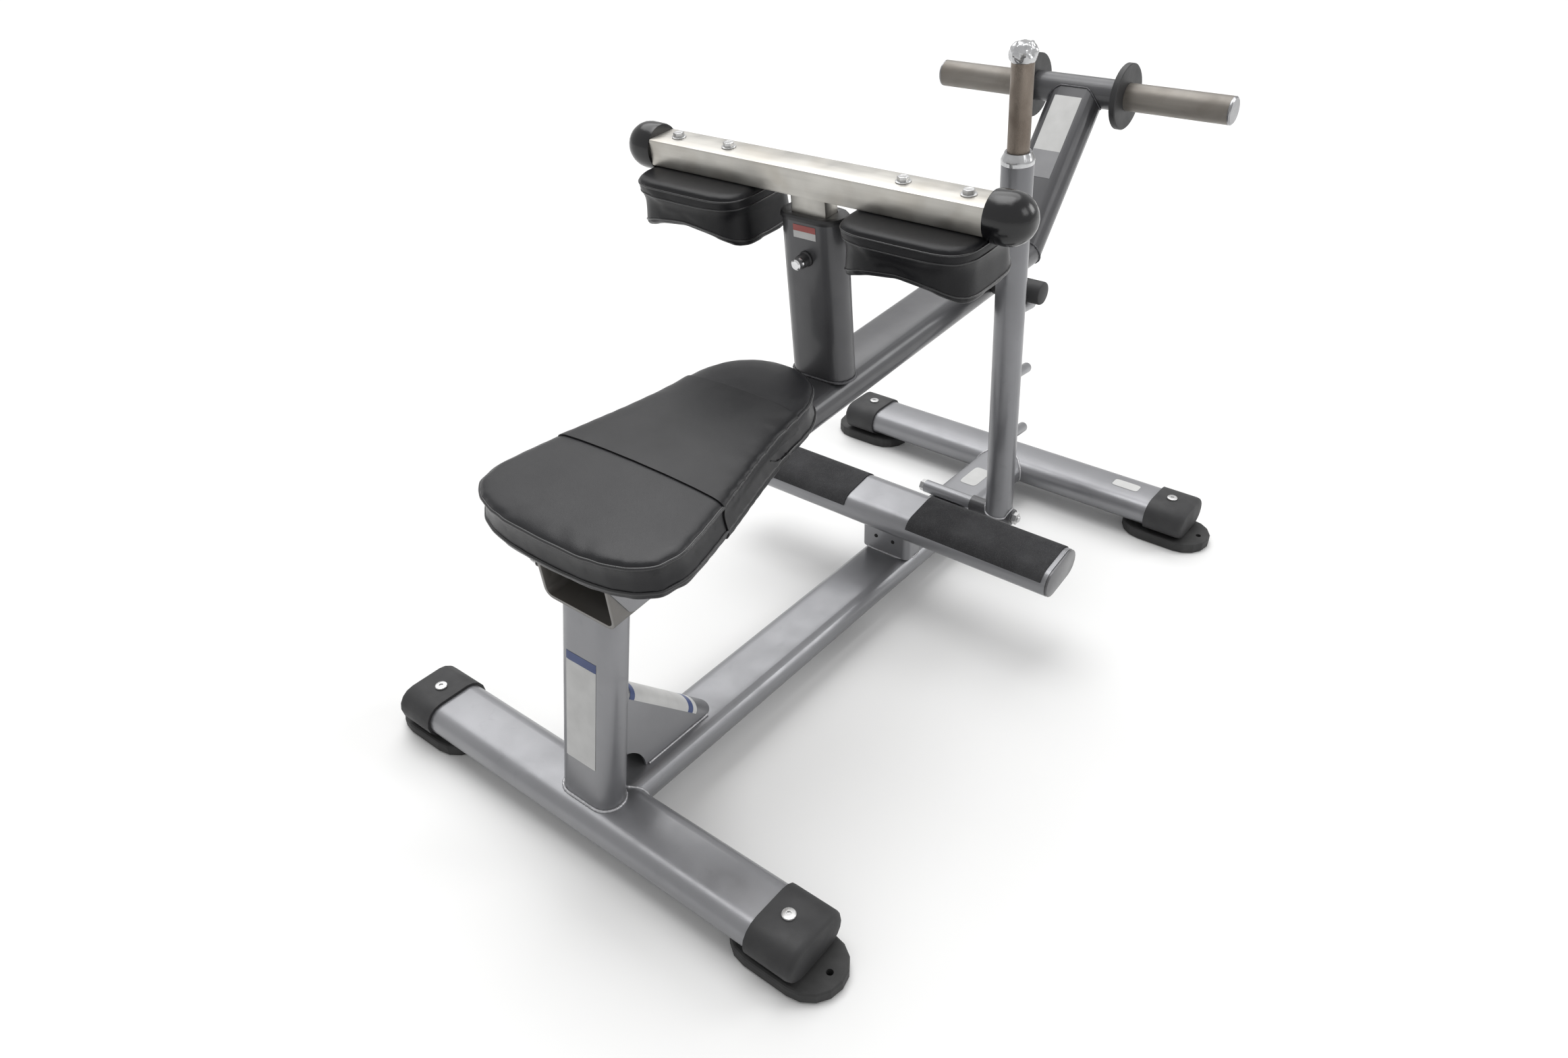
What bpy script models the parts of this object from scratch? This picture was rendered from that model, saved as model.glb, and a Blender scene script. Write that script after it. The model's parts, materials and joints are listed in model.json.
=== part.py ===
"""Seated calf raise machine: frame, seat, loading lever, thigh pads and catch post.

Units are metres and +Z is up. +Y runs from the seat to the weight horns and +X is
to the sitter's right. The origin is on the floor under the middle of the machine.
Run with: blender --background --python part.py
"""
import math

import bmesh
import bpy
from mathutils import Vector

# Clearances
SEAT_GAP = 0.0003          # between pieces that rest on each other
RUN_GAP = 0.0003           # between pieces that turn or slide on each other

# Flat oval tube used through the frame and the lever
TUBE_W = 0.1016
TUBE_H = 0.0508
TUBE_WALL = 0.003

# Feet
BASE_LENGTH = 1.193        # between the centre lines of the two cross feet
FOOT_HALF = 0.372          # half length of a foot tube
PAD_T = 0.0200             # floor pad thickness
PAD_W = 0.1000
PAD_LENGTH = 0.169
PAD_PROUD = 0.059          # floor pad beyond the end of the foot tube
PAD_BOLT_IN = 0.020        # floor bolt hole from the pad's outer end
PAD_BOLT_R = 0.0050
CAP_WALL = 0.0045
CAP_GRIP = 0.055           # length of tube inside a cap
CAP_END_T = 0.020          # rubber beyond the end of the tube
CAP_EDGE_R = 0.009

# Seat post, gusset and bracket
SEAT_POST_LEAN = 9.7       # degrees, leaning forward
BRACKET_DROP = 0.102      # from the seat's underside to the bracket's underside
BRACKET_W = 0.130
BRACKET_T = 0.005
BRACKET_BEND_R = 0.014
BRACKET_START = 0.0315      # from the seat's rear edge, along the seat
BRACKET_LENGTH = 0.125
CHEEK_T = 0.004
CHEEK_LENGTH = 0.105
CHEEK_DROP = 0.088
CHEEK_SLANT = 0.028
MOUNT_PLATE_W = 0.200
MOUNT_PLATE_T = 0.005
GUSSET_W = 0.050
GUSSET_T = 0.004
GUSSET_RISE = 0.167
GUSSET_RUN = 0.147
GUSSET_ARC_R = 0.052

# Seat
SEAT_PITCH = 5.1           # degrees, front end up
SEAT_REAR_Y = -0.0165
SEAT_REAR_Z = 0.475
SEAT_LENGTH = 0.470
SEAT_HALF_REAR = 0.164
SEAT_HALF_FRONT = 0.102
SEAT_ROUND_REAR = 0.076
SEAT_ROUND_FRONT = 0.110
SEAT_SIDE_H = 0.0405       # height of the upper piping
SEAT_PIPE_H = 0.0115       # height of the lower piping
SEAT_CROWN = 0.0150        # rise of the top above the upper piping
SEAT_DRAW = 0.0060         # how far the side wall is drawn in
BOARD_T = 0.012
BOARD_INSET = 0.016
COVER_START = 0.1665       # rear edge of the stretch cover, along the seat
COVER_LENGTH = 0.203
COVER_T = 0.0016
COVER_TUCK = 0.007         # width of the cover's rim under the seat

# Lever
PIVOT_Y = 0.060
PIVOT_Z = 0.4486
PIVOT_BOLT_R = 0.0080
PIVOT_HEAD_R = 0.0135
PIVOT_HEAD_T = 0.0090
PIVOT_HUB_R = 0.0220
PIVOT_BUSH_T = 0.0030
PIVOT_FLANGE_T = 0.0020
PIVOT_FLANGE_R = 0.0150
BEAM_RISE = 4.2            # degrees
BEAM_LENGTH = 1.0655       # from the pivot to the knee
ARM_ANGLE = 50.8           # degrees, the weight arm from level
ARM_LENGTH = 0.3096        # from the knee to the weight tube's axis
THIGH_POST_AT = 0.487      # along the beam, from the pivot
THIGH_POST_LEAN = 5.0      # degrees, leaning back towards the sitter
THIGH_POST_TOP = 0.256     # along the post, from the beam's axis
COLLAR_LIP_T = 0.007
COLLAR_LIP = 0.0022
COLLAR_DEPTH = 0.030

# Weight horns
CROSS_R = 0.0260
CROSS_WALL = 0.003
CROSS_HALF = 0.0830
STOP_R = 0.0560
STOP_T = 0.0120
HORN_R = 0.0236
HORN_WALL = 0.003
HORN_END = 0.2800
PLUG_T = 0.0045
PLUG_DEPTH = 0.015

# Thigh pad carriage
BAR_AT = 0.3217            # along the thigh post, from the beam's axis
BAR_HALF = 0.2756
BAR_W = 0.0540
BAR_H = 0.0385
BAR_WALL = 0.0025
BAR_CORNER = 0.0035
SLIDE_W = 0.0600
SLIDE_H = 0.0300
SLIDE_WALL = 0.0025
SLIDE_CORNER = 0.004
SLIDE_LENGTH = 0.230
SLIDE_HOLE_R = 0.0050
SLIDE_HOLE_PITCH = 0.025
SLIDE_HOLES = 6
DOME_R = 0.0335
DOME_LENGTH = 0.0570
THIGH_PAD_X = 0.1806
THIGH_PAD_HALF_W = 0.0905
THIGH_PAD_HALF_D = 0.0800
THIGH_PAD_T = 0.0550       # thickness over the thigh, at the top of the arch
THIGH_PAD_ARCH = 0.0180
THIGH_PIPE_DROP = 0.0085   # from the pad's flat top to its upper piping
THIGH_LID_T = 0.0205       # from the flat top to the seam of the lid
THIGH_PIPE_RISE = 0.0080   # from the underside to the lower piping

# Pop pin
POP_AT = 0.216             # along the thigh post, from the beam's axis
POP_BARREL_R = 0.0115
POP_BARREL_L = 0.021
POP_PLUNGER_R = 0.0045
POP_KNOB_R = 0.0078
POP_KNOB_L = 0.017

# Footrest
REST_Y = 0.7333
REST_Z = 0.1670
REST_TILT = 9.3            # degrees, far edge up
REST_HALF = 0.331
REST_GRIP_IN = 0.0655      # bare tube each side of the middle
REST_GRIP_END = 0.0080     # bare rim at the tube's end
REST_GRIP_T = 0.0016
REST_PLATE_T = 0.0040
STUB_Y = 0.745
STUB_W = 0.1000
STUB_D = 0.0500
STUB_CORNER = 0.012
STUB_WALL = 0.003

# Catch
CATCH_Y = 0.943
CATCH_X = 0.110
CATCH_LEAN = 4.6           # degrees, leaning back towards the sitter
CATCH_TUBE_R = 0.0254
CATCH_WALL = 0.0025
CATCH_BOLT_R = 0.0060
CATCH_HEAD_R = 0.0115
CATCH_HEAD_T = 0.0090
CATCH_CROSS_R = 0.0125
CATCH_CROSS_HALF = 0.0520
CATCH_HUB_R = 0.0155
CATCH_HUB_END = 0.1400
CATCH_SHOULDER = 0.6735    # along the post, from the pivot
CATCH_NECK_H = 0.012       # height of the drawn-in end above the shoulder
HANDLE_R = 0.0172
HANDLE_LENGTH = 0.1370
HANDLE_WALL = 0.002
HANDLE_CAP_R = 0.0215
HANDLE_CAP_L = 0.0400
PEG_R = 0.0092
PEG_REACH = 0.0800         # from the post's axis to a peg's tip
PEG_TIP_R = 0.0050
PEG_PITCH = 0.1250
PEG_DIP = 9.0              # degrees, the pegs below square to the post
ROLLER_R = 0.0195
ROLLER_PIN_R = 0.0110
ROLLER_END = 0.1410
ROLLER_OFFSET = 0.0570     # from the post's axis to the roller's axis
ROLLER_RISE = 0.0100       # the roller's axis above the beam's
ROLLER_GAP = 0.0005        # between the roller and the peg it rests on

ARC_STEPS = 8              # steps in a half turn of the flat oval tube
ROUND_STEPS = 24           # steps in a full turn of round pieces


def clear_scene():
    """Remove every object of the open scene."""
    for item in list(bpy.data.objects):
        bpy.data.objects.remove(item, do_unlink=True)


def make_material(name, color, roughness, metallic=0.0):
    """Return a plain surface of one colour."""
    material = bpy.data.materials.new(name)
    material.use_nodes = True
    shader = material.node_tree.nodes["Principled BSDF"]
    shader.inputs["Base Color"].default_value = (*color, 1.0)
    shader.inputs["Roughness"].default_value = roughness
    shader.inputs["Metallic"].default_value = metallic
    return material


def axis_empty(name, position):
    """Add an empty on a joint's axis for the moving pieces to hang on."""
    empty = bpy.data.objects.new(name, None)
    empty.location = Vector(position) + TO_MIDDLE
    empty.empty_display_size = 0.05
    bpy.context.scene.collection.objects.link(empty)
    return empty


def add_piece(name, bm, material, parent=None, sharp=35.0):
    """Turn a mesh into an object, with its origin on its parent's axis or at its own middle."""
    bmesh.ops.recalc_face_normals(bm, faces=bm.faces)
    bmesh.ops.translate(bm, vec=TO_MIDDLE, verts=bm.verts)
    if parent is not None:
        origin = parent.location.copy()
    else:
        total = Vector((0.0, 0.0, 0.0))
        for vert in bm.verts:
            total += vert.co
        origin = total / len(bm.verts)
    bmesh.ops.translate(bm, vec=-origin, verts=bm.verts)
    mesh = bpy.data.meshes.new(name)
    bm.to_mesh(mesh)
    bm.free()
    mesh.shade_smooth()
    mesh.set_sharp_from_angle(angle=math.radians(sharp))
    mesh.materials.append(material)
    piece = bpy.data.objects.new(name, mesh)
    bpy.context.scene.collection.objects.link(piece)
    if parent is not None:
        piece.parent = parent
    else:
        piece.location = origin
    return piece


def cut_away(piece, cutter_bm, name):
    """Cut a hidden cutter's shape out of a piece."""
    bmesh.ops.recalc_face_normals(cutter_bm, faces=cutter_bm.faces)
    bmesh.ops.translate(cutter_bm, vec=TO_MIDDLE, verts=cutter_bm.verts)
    mesh = bpy.data.meshes.new(name)
    cutter_bm.to_mesh(mesh)
    cutter_bm.free()
    cutter = bpy.data.objects.new(name, mesh)
    cutter.hide_render = True
    cutter.display_type = "WIRE"
    bpy.context.scene.collection.objects.link(cutter)
    modifier = piece.modifiers.new(name, "BOOLEAN")
    modifier.operation = "DIFFERENCE"
    modifier.solver = "EXACT"
    modifier.object = cutter
    return cutter


def rounded_outline(width, height, radius, steps):
    """Points of a rectangle with round corners, without repeated points."""
    points = []
    corners = ((1, 1, 0), (-1, 1, 90), (-1, -1, 180), (1, -1, 270))
    for sign_u, sign_v, start in corners:
        centre_u = sign_u * (width / 2 - radius)
        centre_v = sign_v * (height / 2 - radius)
        for step in range(steps + 1):
            angle = math.radians(start + 90.0 * step / steps)
            point = (centre_u + radius * math.cos(angle), centre_v + radius * math.sin(angle))
            if not points or math.dist(point, points[-1]) > 1e-6:
                points.append(point)
    if math.dist(points[0], points[-1]) < 1e-6:
        points.pop()
    return points


def oval_outline(width, height):
    """Points of a flat oval with full round ends."""
    return rounded_outline(width, height, height / 2, ARC_STEPS // 2)


def circle_outline(radius, steps=ROUND_STEPS):
    """Points of a circle."""
    turn = 2 * math.pi / steps
    return [(radius * math.cos(turn * i), radius * math.sin(turn * i)) for i in range(steps)]


def ring_faces(bm, first, second):
    """Join two rings of equal count with a band of faces."""
    count = len(first)
    for i in range(count):
        j = (i + 1) % count
        corners = [first[i], first[j], second[j], second[i]]
        unique = []
        for vert in corners:
            if vert not in unique:
                unique.append(vert)
        if len(unique) > 2:
            bm.faces.new(unique)


def loft(rings, closed=False):
    """Skin a list of rings of places, capped at both ends or joined into a loop."""
    bm = bmesh.new()
    loops = [[bm.verts.new(place) for place in ring] for ring in rings]
    for first, second in zip(loops, loops[1:]):
        ring_faces(bm, first, second)
    if closed:
        ring_faces(bm, loops[-1], loops[0])
    else:
        bm.faces.new(loops[0])
        bm.faces.new(loops[-1])
    return bm


class Line:
    """A straight axis in a plane square to X, with the pitch of its direction."""

    def __init__(self, y, z, pitch):
        self.y = y
        self.z = z
        self.pitch = pitch
        self.cos = math.cos(math.radians(pitch))
        self.sin = math.sin(math.radians(pitch))

    def at(self, along, off=0.0, x=0.0):
        """Return the place at a distance along the axis and off it, to its left."""
        return Vector((x, self.y + along * self.cos - off * self.sin,
                       self.z + along * self.sin + off * self.cos))

    def direction(self):
        """Return the axis's direction."""
        return Vector((0.0, self.cos, self.sin))

    def normal(self):
        """Return the direction square to the axis, up when the axis runs forward."""
        return Vector((0.0, -self.sin, self.cos))


def line_ring(line, outline, plane_point, plane_normal, x=0.0):
    """Carry an outline along a line to a cutting plane."""
    direction = line.direction()
    ring = []
    for u, v in outline:
        base = line.at(0.0, v, x + u)
        reach = (plane_point - base).dot(plane_normal) / direction.dot(plane_normal)
        ring.append(base + direction * reach)
    return ring


def line_tube(line, outline, inner, start, end, x=0.0):
    """Tube along a line between two cutting planes, hollow where an inner outline is given.

    start and end are each a place and a plane normal.
    """
    rings = [line_ring(line, outline, *start, x), line_ring(line, outline, *end, x)]
    if inner is None:
        return loft(rings)
    rings += [line_ring(line, inner, *end, x), line_ring(line, inner, *start, x)]
    return loft(rings, closed=True)


def square_cut(line, along):
    """Return a cutting plane square to a line."""
    return line.at(along), line.direction()


def x_ring(x, outline, y, z, tilt=0.0):
    """Place an outline square to X, its first direction along Y, tilted far edge up."""
    cos = math.cos(math.radians(tilt))
    sin = math.sin(math.radians(tilt))
    return [Vector((x, y + u * cos - v * sin, z + u * sin + v * cos)) for u, v in outline]


def x_tube(x0, x1, outline, inner, y, z, tilt=0.0):
    """Tube along X, hollow where an inner outline is given."""
    rings = [x_ring(x0, outline, y, z, tilt), x_ring(x1, outline, y, z, tilt)]
    if inner is None:
        return loft(rings)
    rings += [x_ring(x1, inner, y, z, tilt), x_ring(x0, inner, y, z, tilt)]
    return loft(rings, closed=True)


def turned_x(profile, y, z, steps=ROUND_STEPS, hollow=False):
    """Turn a profile of (x, radius) points about an axis along X."""
    rings = [x_ring(x, circle_outline(radius, steps), y, z) for x, radius in profile]
    return loft(rings, closed=hollow)


def turned_line(line, profile, x=0.0, steps=ROUND_STEPS, hollow=False):
    """Turn a profile of (distance along, radius) points about a line."""
    rings = []
    for along, radius in profile:
        ring = [line.at(along, v, x + u) for u, v in circle_outline(radius, steps)]
        rings.append(ring)
    return loft(rings, closed=hollow)


# Levels that follow from the sizes above
FOOT_Z = PAD_T + SEAT_GAP + CAP_WALL + SEAT_GAP + TUBE_H / 2
TUBE_TOP = FOOT_Z + TUBE_H / 2
CATCH_Z = TUBE_TOP + SEAT_GAP + CATCH_CROSS_R
HUB_HALF = BRACKET_W / 2 - BRACKET_T - PIVOT_FLANGE_T - RUN_GAP * 2
SEAT_LINE = Line(SEAT_REAR_Y, SEAT_REAR_Z, SEAT_PITCH)
BEAM = Line(PIVOT_Y, PIVOT_Z, BEAM_RISE)
KNEE = BEAM.at(BEAM_LENGTH)
ARM = Line(KNEE.y, KNEE.z, ARM_ANGLE)
CROSS = ARM.at(ARM_LENGTH)
POST_BASE = BEAM.at(THIGH_POST_AT)
THIGH_POST = Line(POST_BASE.y, POST_BASE.z, 90 + THIGH_POST_LEAN)
CATCH = Line(CATCH_Y, CATCH_Z, 90 + CATCH_LEAN)
BAR_CENTRE = THIGH_POST.at(BAR_AT)

# The pieces are laid out from the front foot's centre line, then moved by this to the middle
FRONT_REACH = TUBE_W / 2 + SEAT_GAP + CAP_WALL
TO_MIDDLE = Vector((0.0, (FRONT_REACH - CROSS.y - STOP_R) / 2, 0.0))

OUTER = oval_outline(TUBE_W, TUBE_H)
INNER = oval_outline(TUBE_W - 2 * TUBE_WALL, TUBE_H - 2 * TUBE_WALL)


def foot_cutter(y):
    """Solid of a foot tube, a seating gap larger all round."""
    outline = oval_outline(TUBE_W + 2 * SEAT_GAP, TUBE_H + 2 * SEAT_GAP)
    return x_tube(-TUBE_W, TUBE_W, outline, None, y, FOOT_Z)


def build_base(paint):
    """Two cross feet joined by the spine."""
    for name, y in (("front_foot_tube", 0.0), ("rear_foot_tube", BASE_LENGTH)):
        add_piece(name, x_tube(-FOOT_HALF, FOOT_HALF, OUTER, INNER, y, FOOT_Z), paint)
    axis = Line(0.0, FOOT_Z, 0.0)
    reach = TUBE_W / 2 - TUBE_H / 2
    spine = line_tube(axis, OUTER, INNER, square_cut(axis, reach), square_cut(axis, BASE_LENGTH - reach))
    spine = add_piece("spine_tube", spine, paint)
    cut_away(spine, foot_cutter(0.0), "spine_front_cope")
    cut_away(spine, foot_cutter(BASE_LENGTH), "spine_rear_cope")


def build_foot_cap(name, side, y, rubber):
    """Rubber cap pushed over one end of a foot tube."""
    outer = oval_outline(TUBE_W + 2 * (SEAT_GAP + CAP_WALL), TUBE_H + 2 * (SEAT_GAP + CAP_WALL))
    pocket = oval_outline(TUBE_W + 2 * SEAT_GAP, TUBE_H + 2 * SEAT_GAP)
    end = FOOT_HALF + SEAT_GAP + CAP_END_T
    stations = [(FOOT_HALF + SEAT_GAP, pocket), (FOOT_HALF - CAP_GRIP, pocket), (FOOT_HALF - CAP_GRIP, outer),
                (end - CAP_EDGE_R, outer)]
    for step in (1, 2, 3):
        angle = math.radians(30 * step)
        inset = CAP_EDGE_R * (1 - math.cos(angle))
        grow = 2 * (SEAT_GAP + CAP_WALL - inset)
        shape = oval_outline(TUBE_W + grow, TUBE_H + grow)
        stations.append((end - CAP_EDGE_R * (1 - math.sin(angle)), shape))
    add_piece(name, loft([x_ring(side * x, shape, y, FOOT_Z) for x, shape in stations]), rubber)


def build_floor_pad(name, side, y, rubber):
    """Stadium-shaped rubber pad under one end of a foot, with a floor bolt hole."""
    centre = side * (FOOT_HALF + PAD_PROUD - PAD_LENGTH / 2)
    bolt = side * (FOOT_HALF + PAD_PROUD - PAD_BOLT_IN)
    levels = ((0.0, 0.002), (0.003, 0.0), (PAD_T - 0.004, 0.0), (PAD_T - 0.001, 0.0015), (PAD_T, 0.004))
    rings = []
    for z, inset in levels:
        shape = oval_outline(PAD_LENGTH - 2 * inset, PAD_W - 2 * inset)
        rings.append([Vector((centre + u, y + v, z)) for u, v in shape])
    pad = add_piece(name, loft(rings), rubber)
    hole = [[Vector((bolt + u, y + v, z)) for u, v in circle_outline(PAD_BOLT_R, 12)]
            for z in (-PAD_T, 2 * PAD_T)]
    cut_away(pad, loft(hole), name + "_hole")


def build_feet(rubber):
    """Caps and floor pads at the four corners."""
    for end_name, y in (("front", 0.0), ("rear", BASE_LENGTH)):
        for side_name, side in (("left", -1), ("right", 1)):
            build_foot_cap(f"{end_name}_{side_name}_cap", side, y, rubber)
            build_floor_pad(f"{end_name}_{side_name}_floor_pad", side, y, rubber)


def seat_post_line():
    """Axis of the seat post, up from the front foot."""
    return Line(0.0, TUBE_TOP, 90 - SEAT_POST_LEAN)


def build_seat_post(paint):
    """Leaning post between the front foot and the seat bracket."""
    line = seat_post_line()
    floor = (Vector((0, 0, TUBE_TOP + SEAT_GAP)), Vector((0, 0, 1)))
    ceiling = (SEAT_LINE.at(0.0, -BRACKET_DROP - SEAT_GAP), SEAT_LINE.normal())
    add_piece("seat_post", line_tube(line, OUTER, INNER, floor, ceiling), paint)


def build_gusset(paint):
    """Folded gusset between the seat post and the spine."""
    post = seat_post_line()
    slope = math.tan(math.radians(SEAT_POST_LEAN))
    face_off = TUBE_H / 2 / math.cos(math.radians(SEAT_POST_LEAN)) + SEAT_GAP
    base_z = TUBE_TOP + SEAT_GAP
    corner = (face_off, base_z)
    top = (face_off + slope * GUSSET_RISE, base_z + GUSSET_RISE)
    toe = (corner[0] + GUSSET_RUN, base_z)
    post_angle = 90 - SEAT_POST_LEAN
    arc = []
    for step in range(7):
        angle = math.radians(post_angle * step / 6)
        arc.append((corner[0] + GUSSET_ARC_R * math.cos(angle), corner[1] + GUSSET_ARC_R * math.sin(angle)))
    lip = GUSSET_T * 1.5
    run = Vector((toe[0] - top[0], toe[1] - top[1])).normalized()
    outline = [top, (toe[0], toe[1] + lip), toe] + arc
    rings = [[Vector((x, y, z)) for y, z in outline] for x in (-GUSSET_W / 2, GUSSET_W / 2)]
    gusset = add_piece("seat_gusset", loft(rings), paint)
    inward = Vector((run.y, -run.x)) * GUSSET_T
    if inward.y > 0:
        inward = -inward
    shift = inward - run * GUSSET_T * 3
    reach = run * (GUSSET_RUN * 3)
    start = Vector(top) + shift - run * GUSSET_RUN
    stop = start + reach
    pocket = [start, stop, (stop.x, base_z - GUSSET_RUN), (corner[0] - GUSSET_RUN, base_z - GUSSET_RUN)]
    half = GUSSET_W / 2 - GUSSET_T
    rings = [[Vector((x, point[0], point[1])) for point in pocket] for x in (-half, half)]
    cut_away(gusset, loft(rings), "gusset_pocket")


def bracket_outline():
    """Bent channel section in X and height above its underside."""
    half = BRACKET_W / 2
    height = BRACKET_DROP - SEAT_GAP - MOUNT_PLATE_T - SEAT_GAP
    outer = []
    inner = []
    for step in range(6):
        angle = math.radians(90 * step / 5)
        across = half - BRACKET_BEND_R
        thin = BRACKET_BEND_R - BRACKET_T
        outer.append((across + BRACKET_BEND_R * math.sin(angle), BRACKET_BEND_R * (1 - math.cos(angle))))
        inner.append((across + thin * math.sin(angle), BRACKET_BEND_R - thin * math.cos(angle)))
    section = outer + [(half, height), (half - BRACKET_T, height)] + inner[::-1]
    section += [(-u, v) for u, v in inner]
    section += [(-half + BRACKET_T, height), (-half, height)]
    section += [(-u, v) for u, v in outer[::-1]]
    return section


def build_bracket(paint, zinc):
    """Bent channel under the seat that holds the lever's pivot, with its cheeks."""
    section = bracket_outline()
    rings = []
    for along in (BRACKET_START, BRACKET_START + BRACKET_LENGTH):
        rings.append([SEAT_LINE.at(along, v - BRACKET_DROP, u) for u, v in section])
    bracket = add_piece("seat_bracket", loft(rings), paint)
    hole = PIVOT_BOLT_R + RUN_GAP
    bore = turned_x([(-BRACKET_W, hole), (BRACKET_W, hole)], PIVOT_Y, PIVOT_Z)
    cut_away(bracket, bore, "bracket_bore")
    inside = BRACKET_W / 2 + SEAT_GAP
    top = -SEAT_GAP - MOUNT_PLATE_T - SEAT_GAP
    corner = 0.014
    outline = [(0.0, top), (0.0, top - 0.030), (CHEEK_SLANT - 0.004, -CHEEK_DROP + 0.004)]
    outline += [(CHEEK_SLANT + 0.004, -CHEEK_DROP)]
    outline += [(CHEEK_LENGTH - corner, -CHEEK_DROP), (CHEEK_LENGTH - 0.003, -CHEEK_DROP + 0.005)]
    outline += [(CHEEK_LENGTH, -CHEEK_DROP + corner), (CHEEK_LENGTH, top)]
    for name, side in (("left", -1), ("right", 1)):
        rings = []
        for x in (inside, inside + CHEEK_T):
            rings.append([SEAT_LINE.at(BRACKET_START + a, b, side * x) for a, b in outline])
        cheek = add_piece(f"{name}_pivot_cheek", loft(rings), paint)
        bore = turned_x([(-BRACKET_W, hole), (BRACKET_W, hole)], PIVOT_Y, PIVOT_Z)
        cut_away(cheek, bore, f"{name}_cheek_bore")
    build_mount_plate(paint)
    build_pivot_bolt(zinc)


def build_mount_plate(paint):
    """Flat plate on the bracket's ears that the seat board is bolted to."""
    plate_mid = BRACKET_START + BRACKET_LENGTH / 2
    shape = rounded_outline(MOUNT_PLATE_W, BRACKET_LENGTH, 0.012, 3)
    rings = []
    for level in (-SEAT_GAP - MOUNT_PLATE_T, -SEAT_GAP):
        rings.append([SEAT_LINE.at(plate_mid + v, level, u) for u, v in shape])
    add_piece("seat_mount_plate", loft(rings), paint)


def build_pivot_bolt(zinc):
    """Bolt through the bracket's ears, its head at the left and its nut at the right."""
    face = BRACKET_W / 2 + SEAT_GAP + CHEEK_T + SEAT_GAP
    outer = face + PIVOT_HEAD_T
    hexagon = circle_outline(PIVOT_HEAD_R, 6)
    head = loft([x_ring(x, hexagon, PIVOT_Y, PIVOT_Z) for x in (-outer, -face)])
    nut = loft([x_ring(x, hexagon, PIVOT_Y, PIVOT_Z) for x in (face, outer)])
    shank = turned_x([(-face - 0.002, PIVOT_BOLT_R), (outer + 0.005, PIVOT_BOLT_R),
                      (outer + 0.006, PIVOT_BOLT_R - 0.001)], PIVOT_Y, PIVOT_Z)
    bolt = join_solids(join_solids(head, shank, "pivot_head"), nut, "pivot_nut")
    add_piece("lever_pivot_bolt", bolt, zinc)


def join_solids(first, second, name):
    """Return the union of two closed meshes."""
    holder = []
    for index, bm in enumerate((first, second)):
        bmesh.ops.recalc_face_normals(bm, faces=bm.faces)
        mesh = bpy.data.meshes.new(f"{name}_{index}")
        bm.to_mesh(mesh)
        bm.free()
        item = bpy.data.objects.new(f"{name}_{index}", mesh)
        bpy.context.scene.collection.objects.link(item)
        holder.append(item)
    modifier = holder[0].modifiers.new(name, "BOOLEAN")
    modifier.operation = "UNION"
    modifier.solver = "EXACT"
    modifier.object = holder[1]
    graph = bpy.context.evaluated_depsgraph_get()
    result = bmesh.new()
    result.from_object(holder[0], graph)
    for item in holder:
        bpy.data.objects.remove(item, do_unlink=True)
    return result


def seat_half_width(along):
    """Half width of the seat's outline at a distance from its rear end."""
    span = (along - SEAT_ROUND_REAR) / (SEAT_LENGTH - SEAT_ROUND_FRONT - SEAT_ROUND_REAR)
    span = min(max(span, 0.0), 1.0)
    ease = span * span * (3 - 2 * span) * 0.45 + span * 0.55
    half = SEAT_HALF_REAR + (SEAT_HALF_FRONT - SEAT_HALF_REAR) * ease
    if along < SEAT_ROUND_REAR:
        half *= max(0.0, 1 - (1 - along / SEAT_ROUND_REAR) ** 2.6) ** (1 / 2.6)
    left = SEAT_LENGTH - along
    if left < SEAT_ROUND_FRONT:
        half *= max(0.0, 1 - (1 - left / SEAT_ROUND_FRONT) ** 2.15) ** (1 / 2.15)
    return half


def seat_stations():
    """Distances along the seat at which its outline has a point, rear to front."""
    end = COVER_START + COVER_LENGTH
    rear = [SEAT_ROUND_REAR * (1 - math.cos(math.radians(a))) for a in (0, 14, 28, 44, 62, 90)]
    front = [SEAT_LENGTH - SEAT_ROUND_FRONT * (1 - math.cos(math.radians(a)))
             for a in (90, 66, 50, 36, 24, 12, 0)]
    edges = [COVER_START + COVER_LENGTH * i / 4 for i in range(5)]
    spare = [(SEAT_ROUND_REAR + COVER_START) / 2] + rear + front
    near = SEAT_ROUND_REAR / 16
    kept = [a for a in spare if min(abs(a - edge) for edge in edges) > near and not COVER_START < a < end]
    return sorted(edges + kept)


def seat_profile(grow=0.0):
    """Edge levels of the cushion as (inset, height), then crown levels as (share, height)."""
    draw = SEAT_DRAW
    side = SEAT_SIDE_H
    pipe = SEAT_PIPE_H
    edge = [(0.0075 - grow, 0.0 - grow), (0.0018 - grow, pipe * 0.35 - grow * 0.5), (0.0 - grow, pipe),
            (draw * 0.5 - grow, pipe + 0.0040), (draw - grow, (pipe + side) / 2),
            (draw * 0.5 - grow, side - 0.0040), (0.0 - grow, side),
            (0.0018 - grow, side + 0.0035 + grow * 0.5), (0.0100 - grow * 0.3, side + 0.0078 + grow)]
    crown = [(0.32, side + SEAT_CROWN * 0.76 + grow), (0.64, side + SEAT_CROWN * 0.94 + grow),
             (1.0, side + SEAT_CROWN + grow)]
    return edge, crown


def seat_point(along, side, inset=0.0, share=None, height=0.0):
    """Place on the cushion, drawn in from its outline towards its middle line."""
    half = seat_half_width(along)
    middle = min(max(along, SEAT_ROUND_REAR + 0.01), SEAT_LENGTH - SEAT_ROUND_FRONT)
    edge = Vector((side * half, along))
    centre = Vector((0.0, middle))
    reach = (centre - edge).length
    if share is None:
        share = inset / reach
    spot = edge + (centre - edge) * share
    return SEAT_LINE.at(spot.y, height, spot.x)


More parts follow.
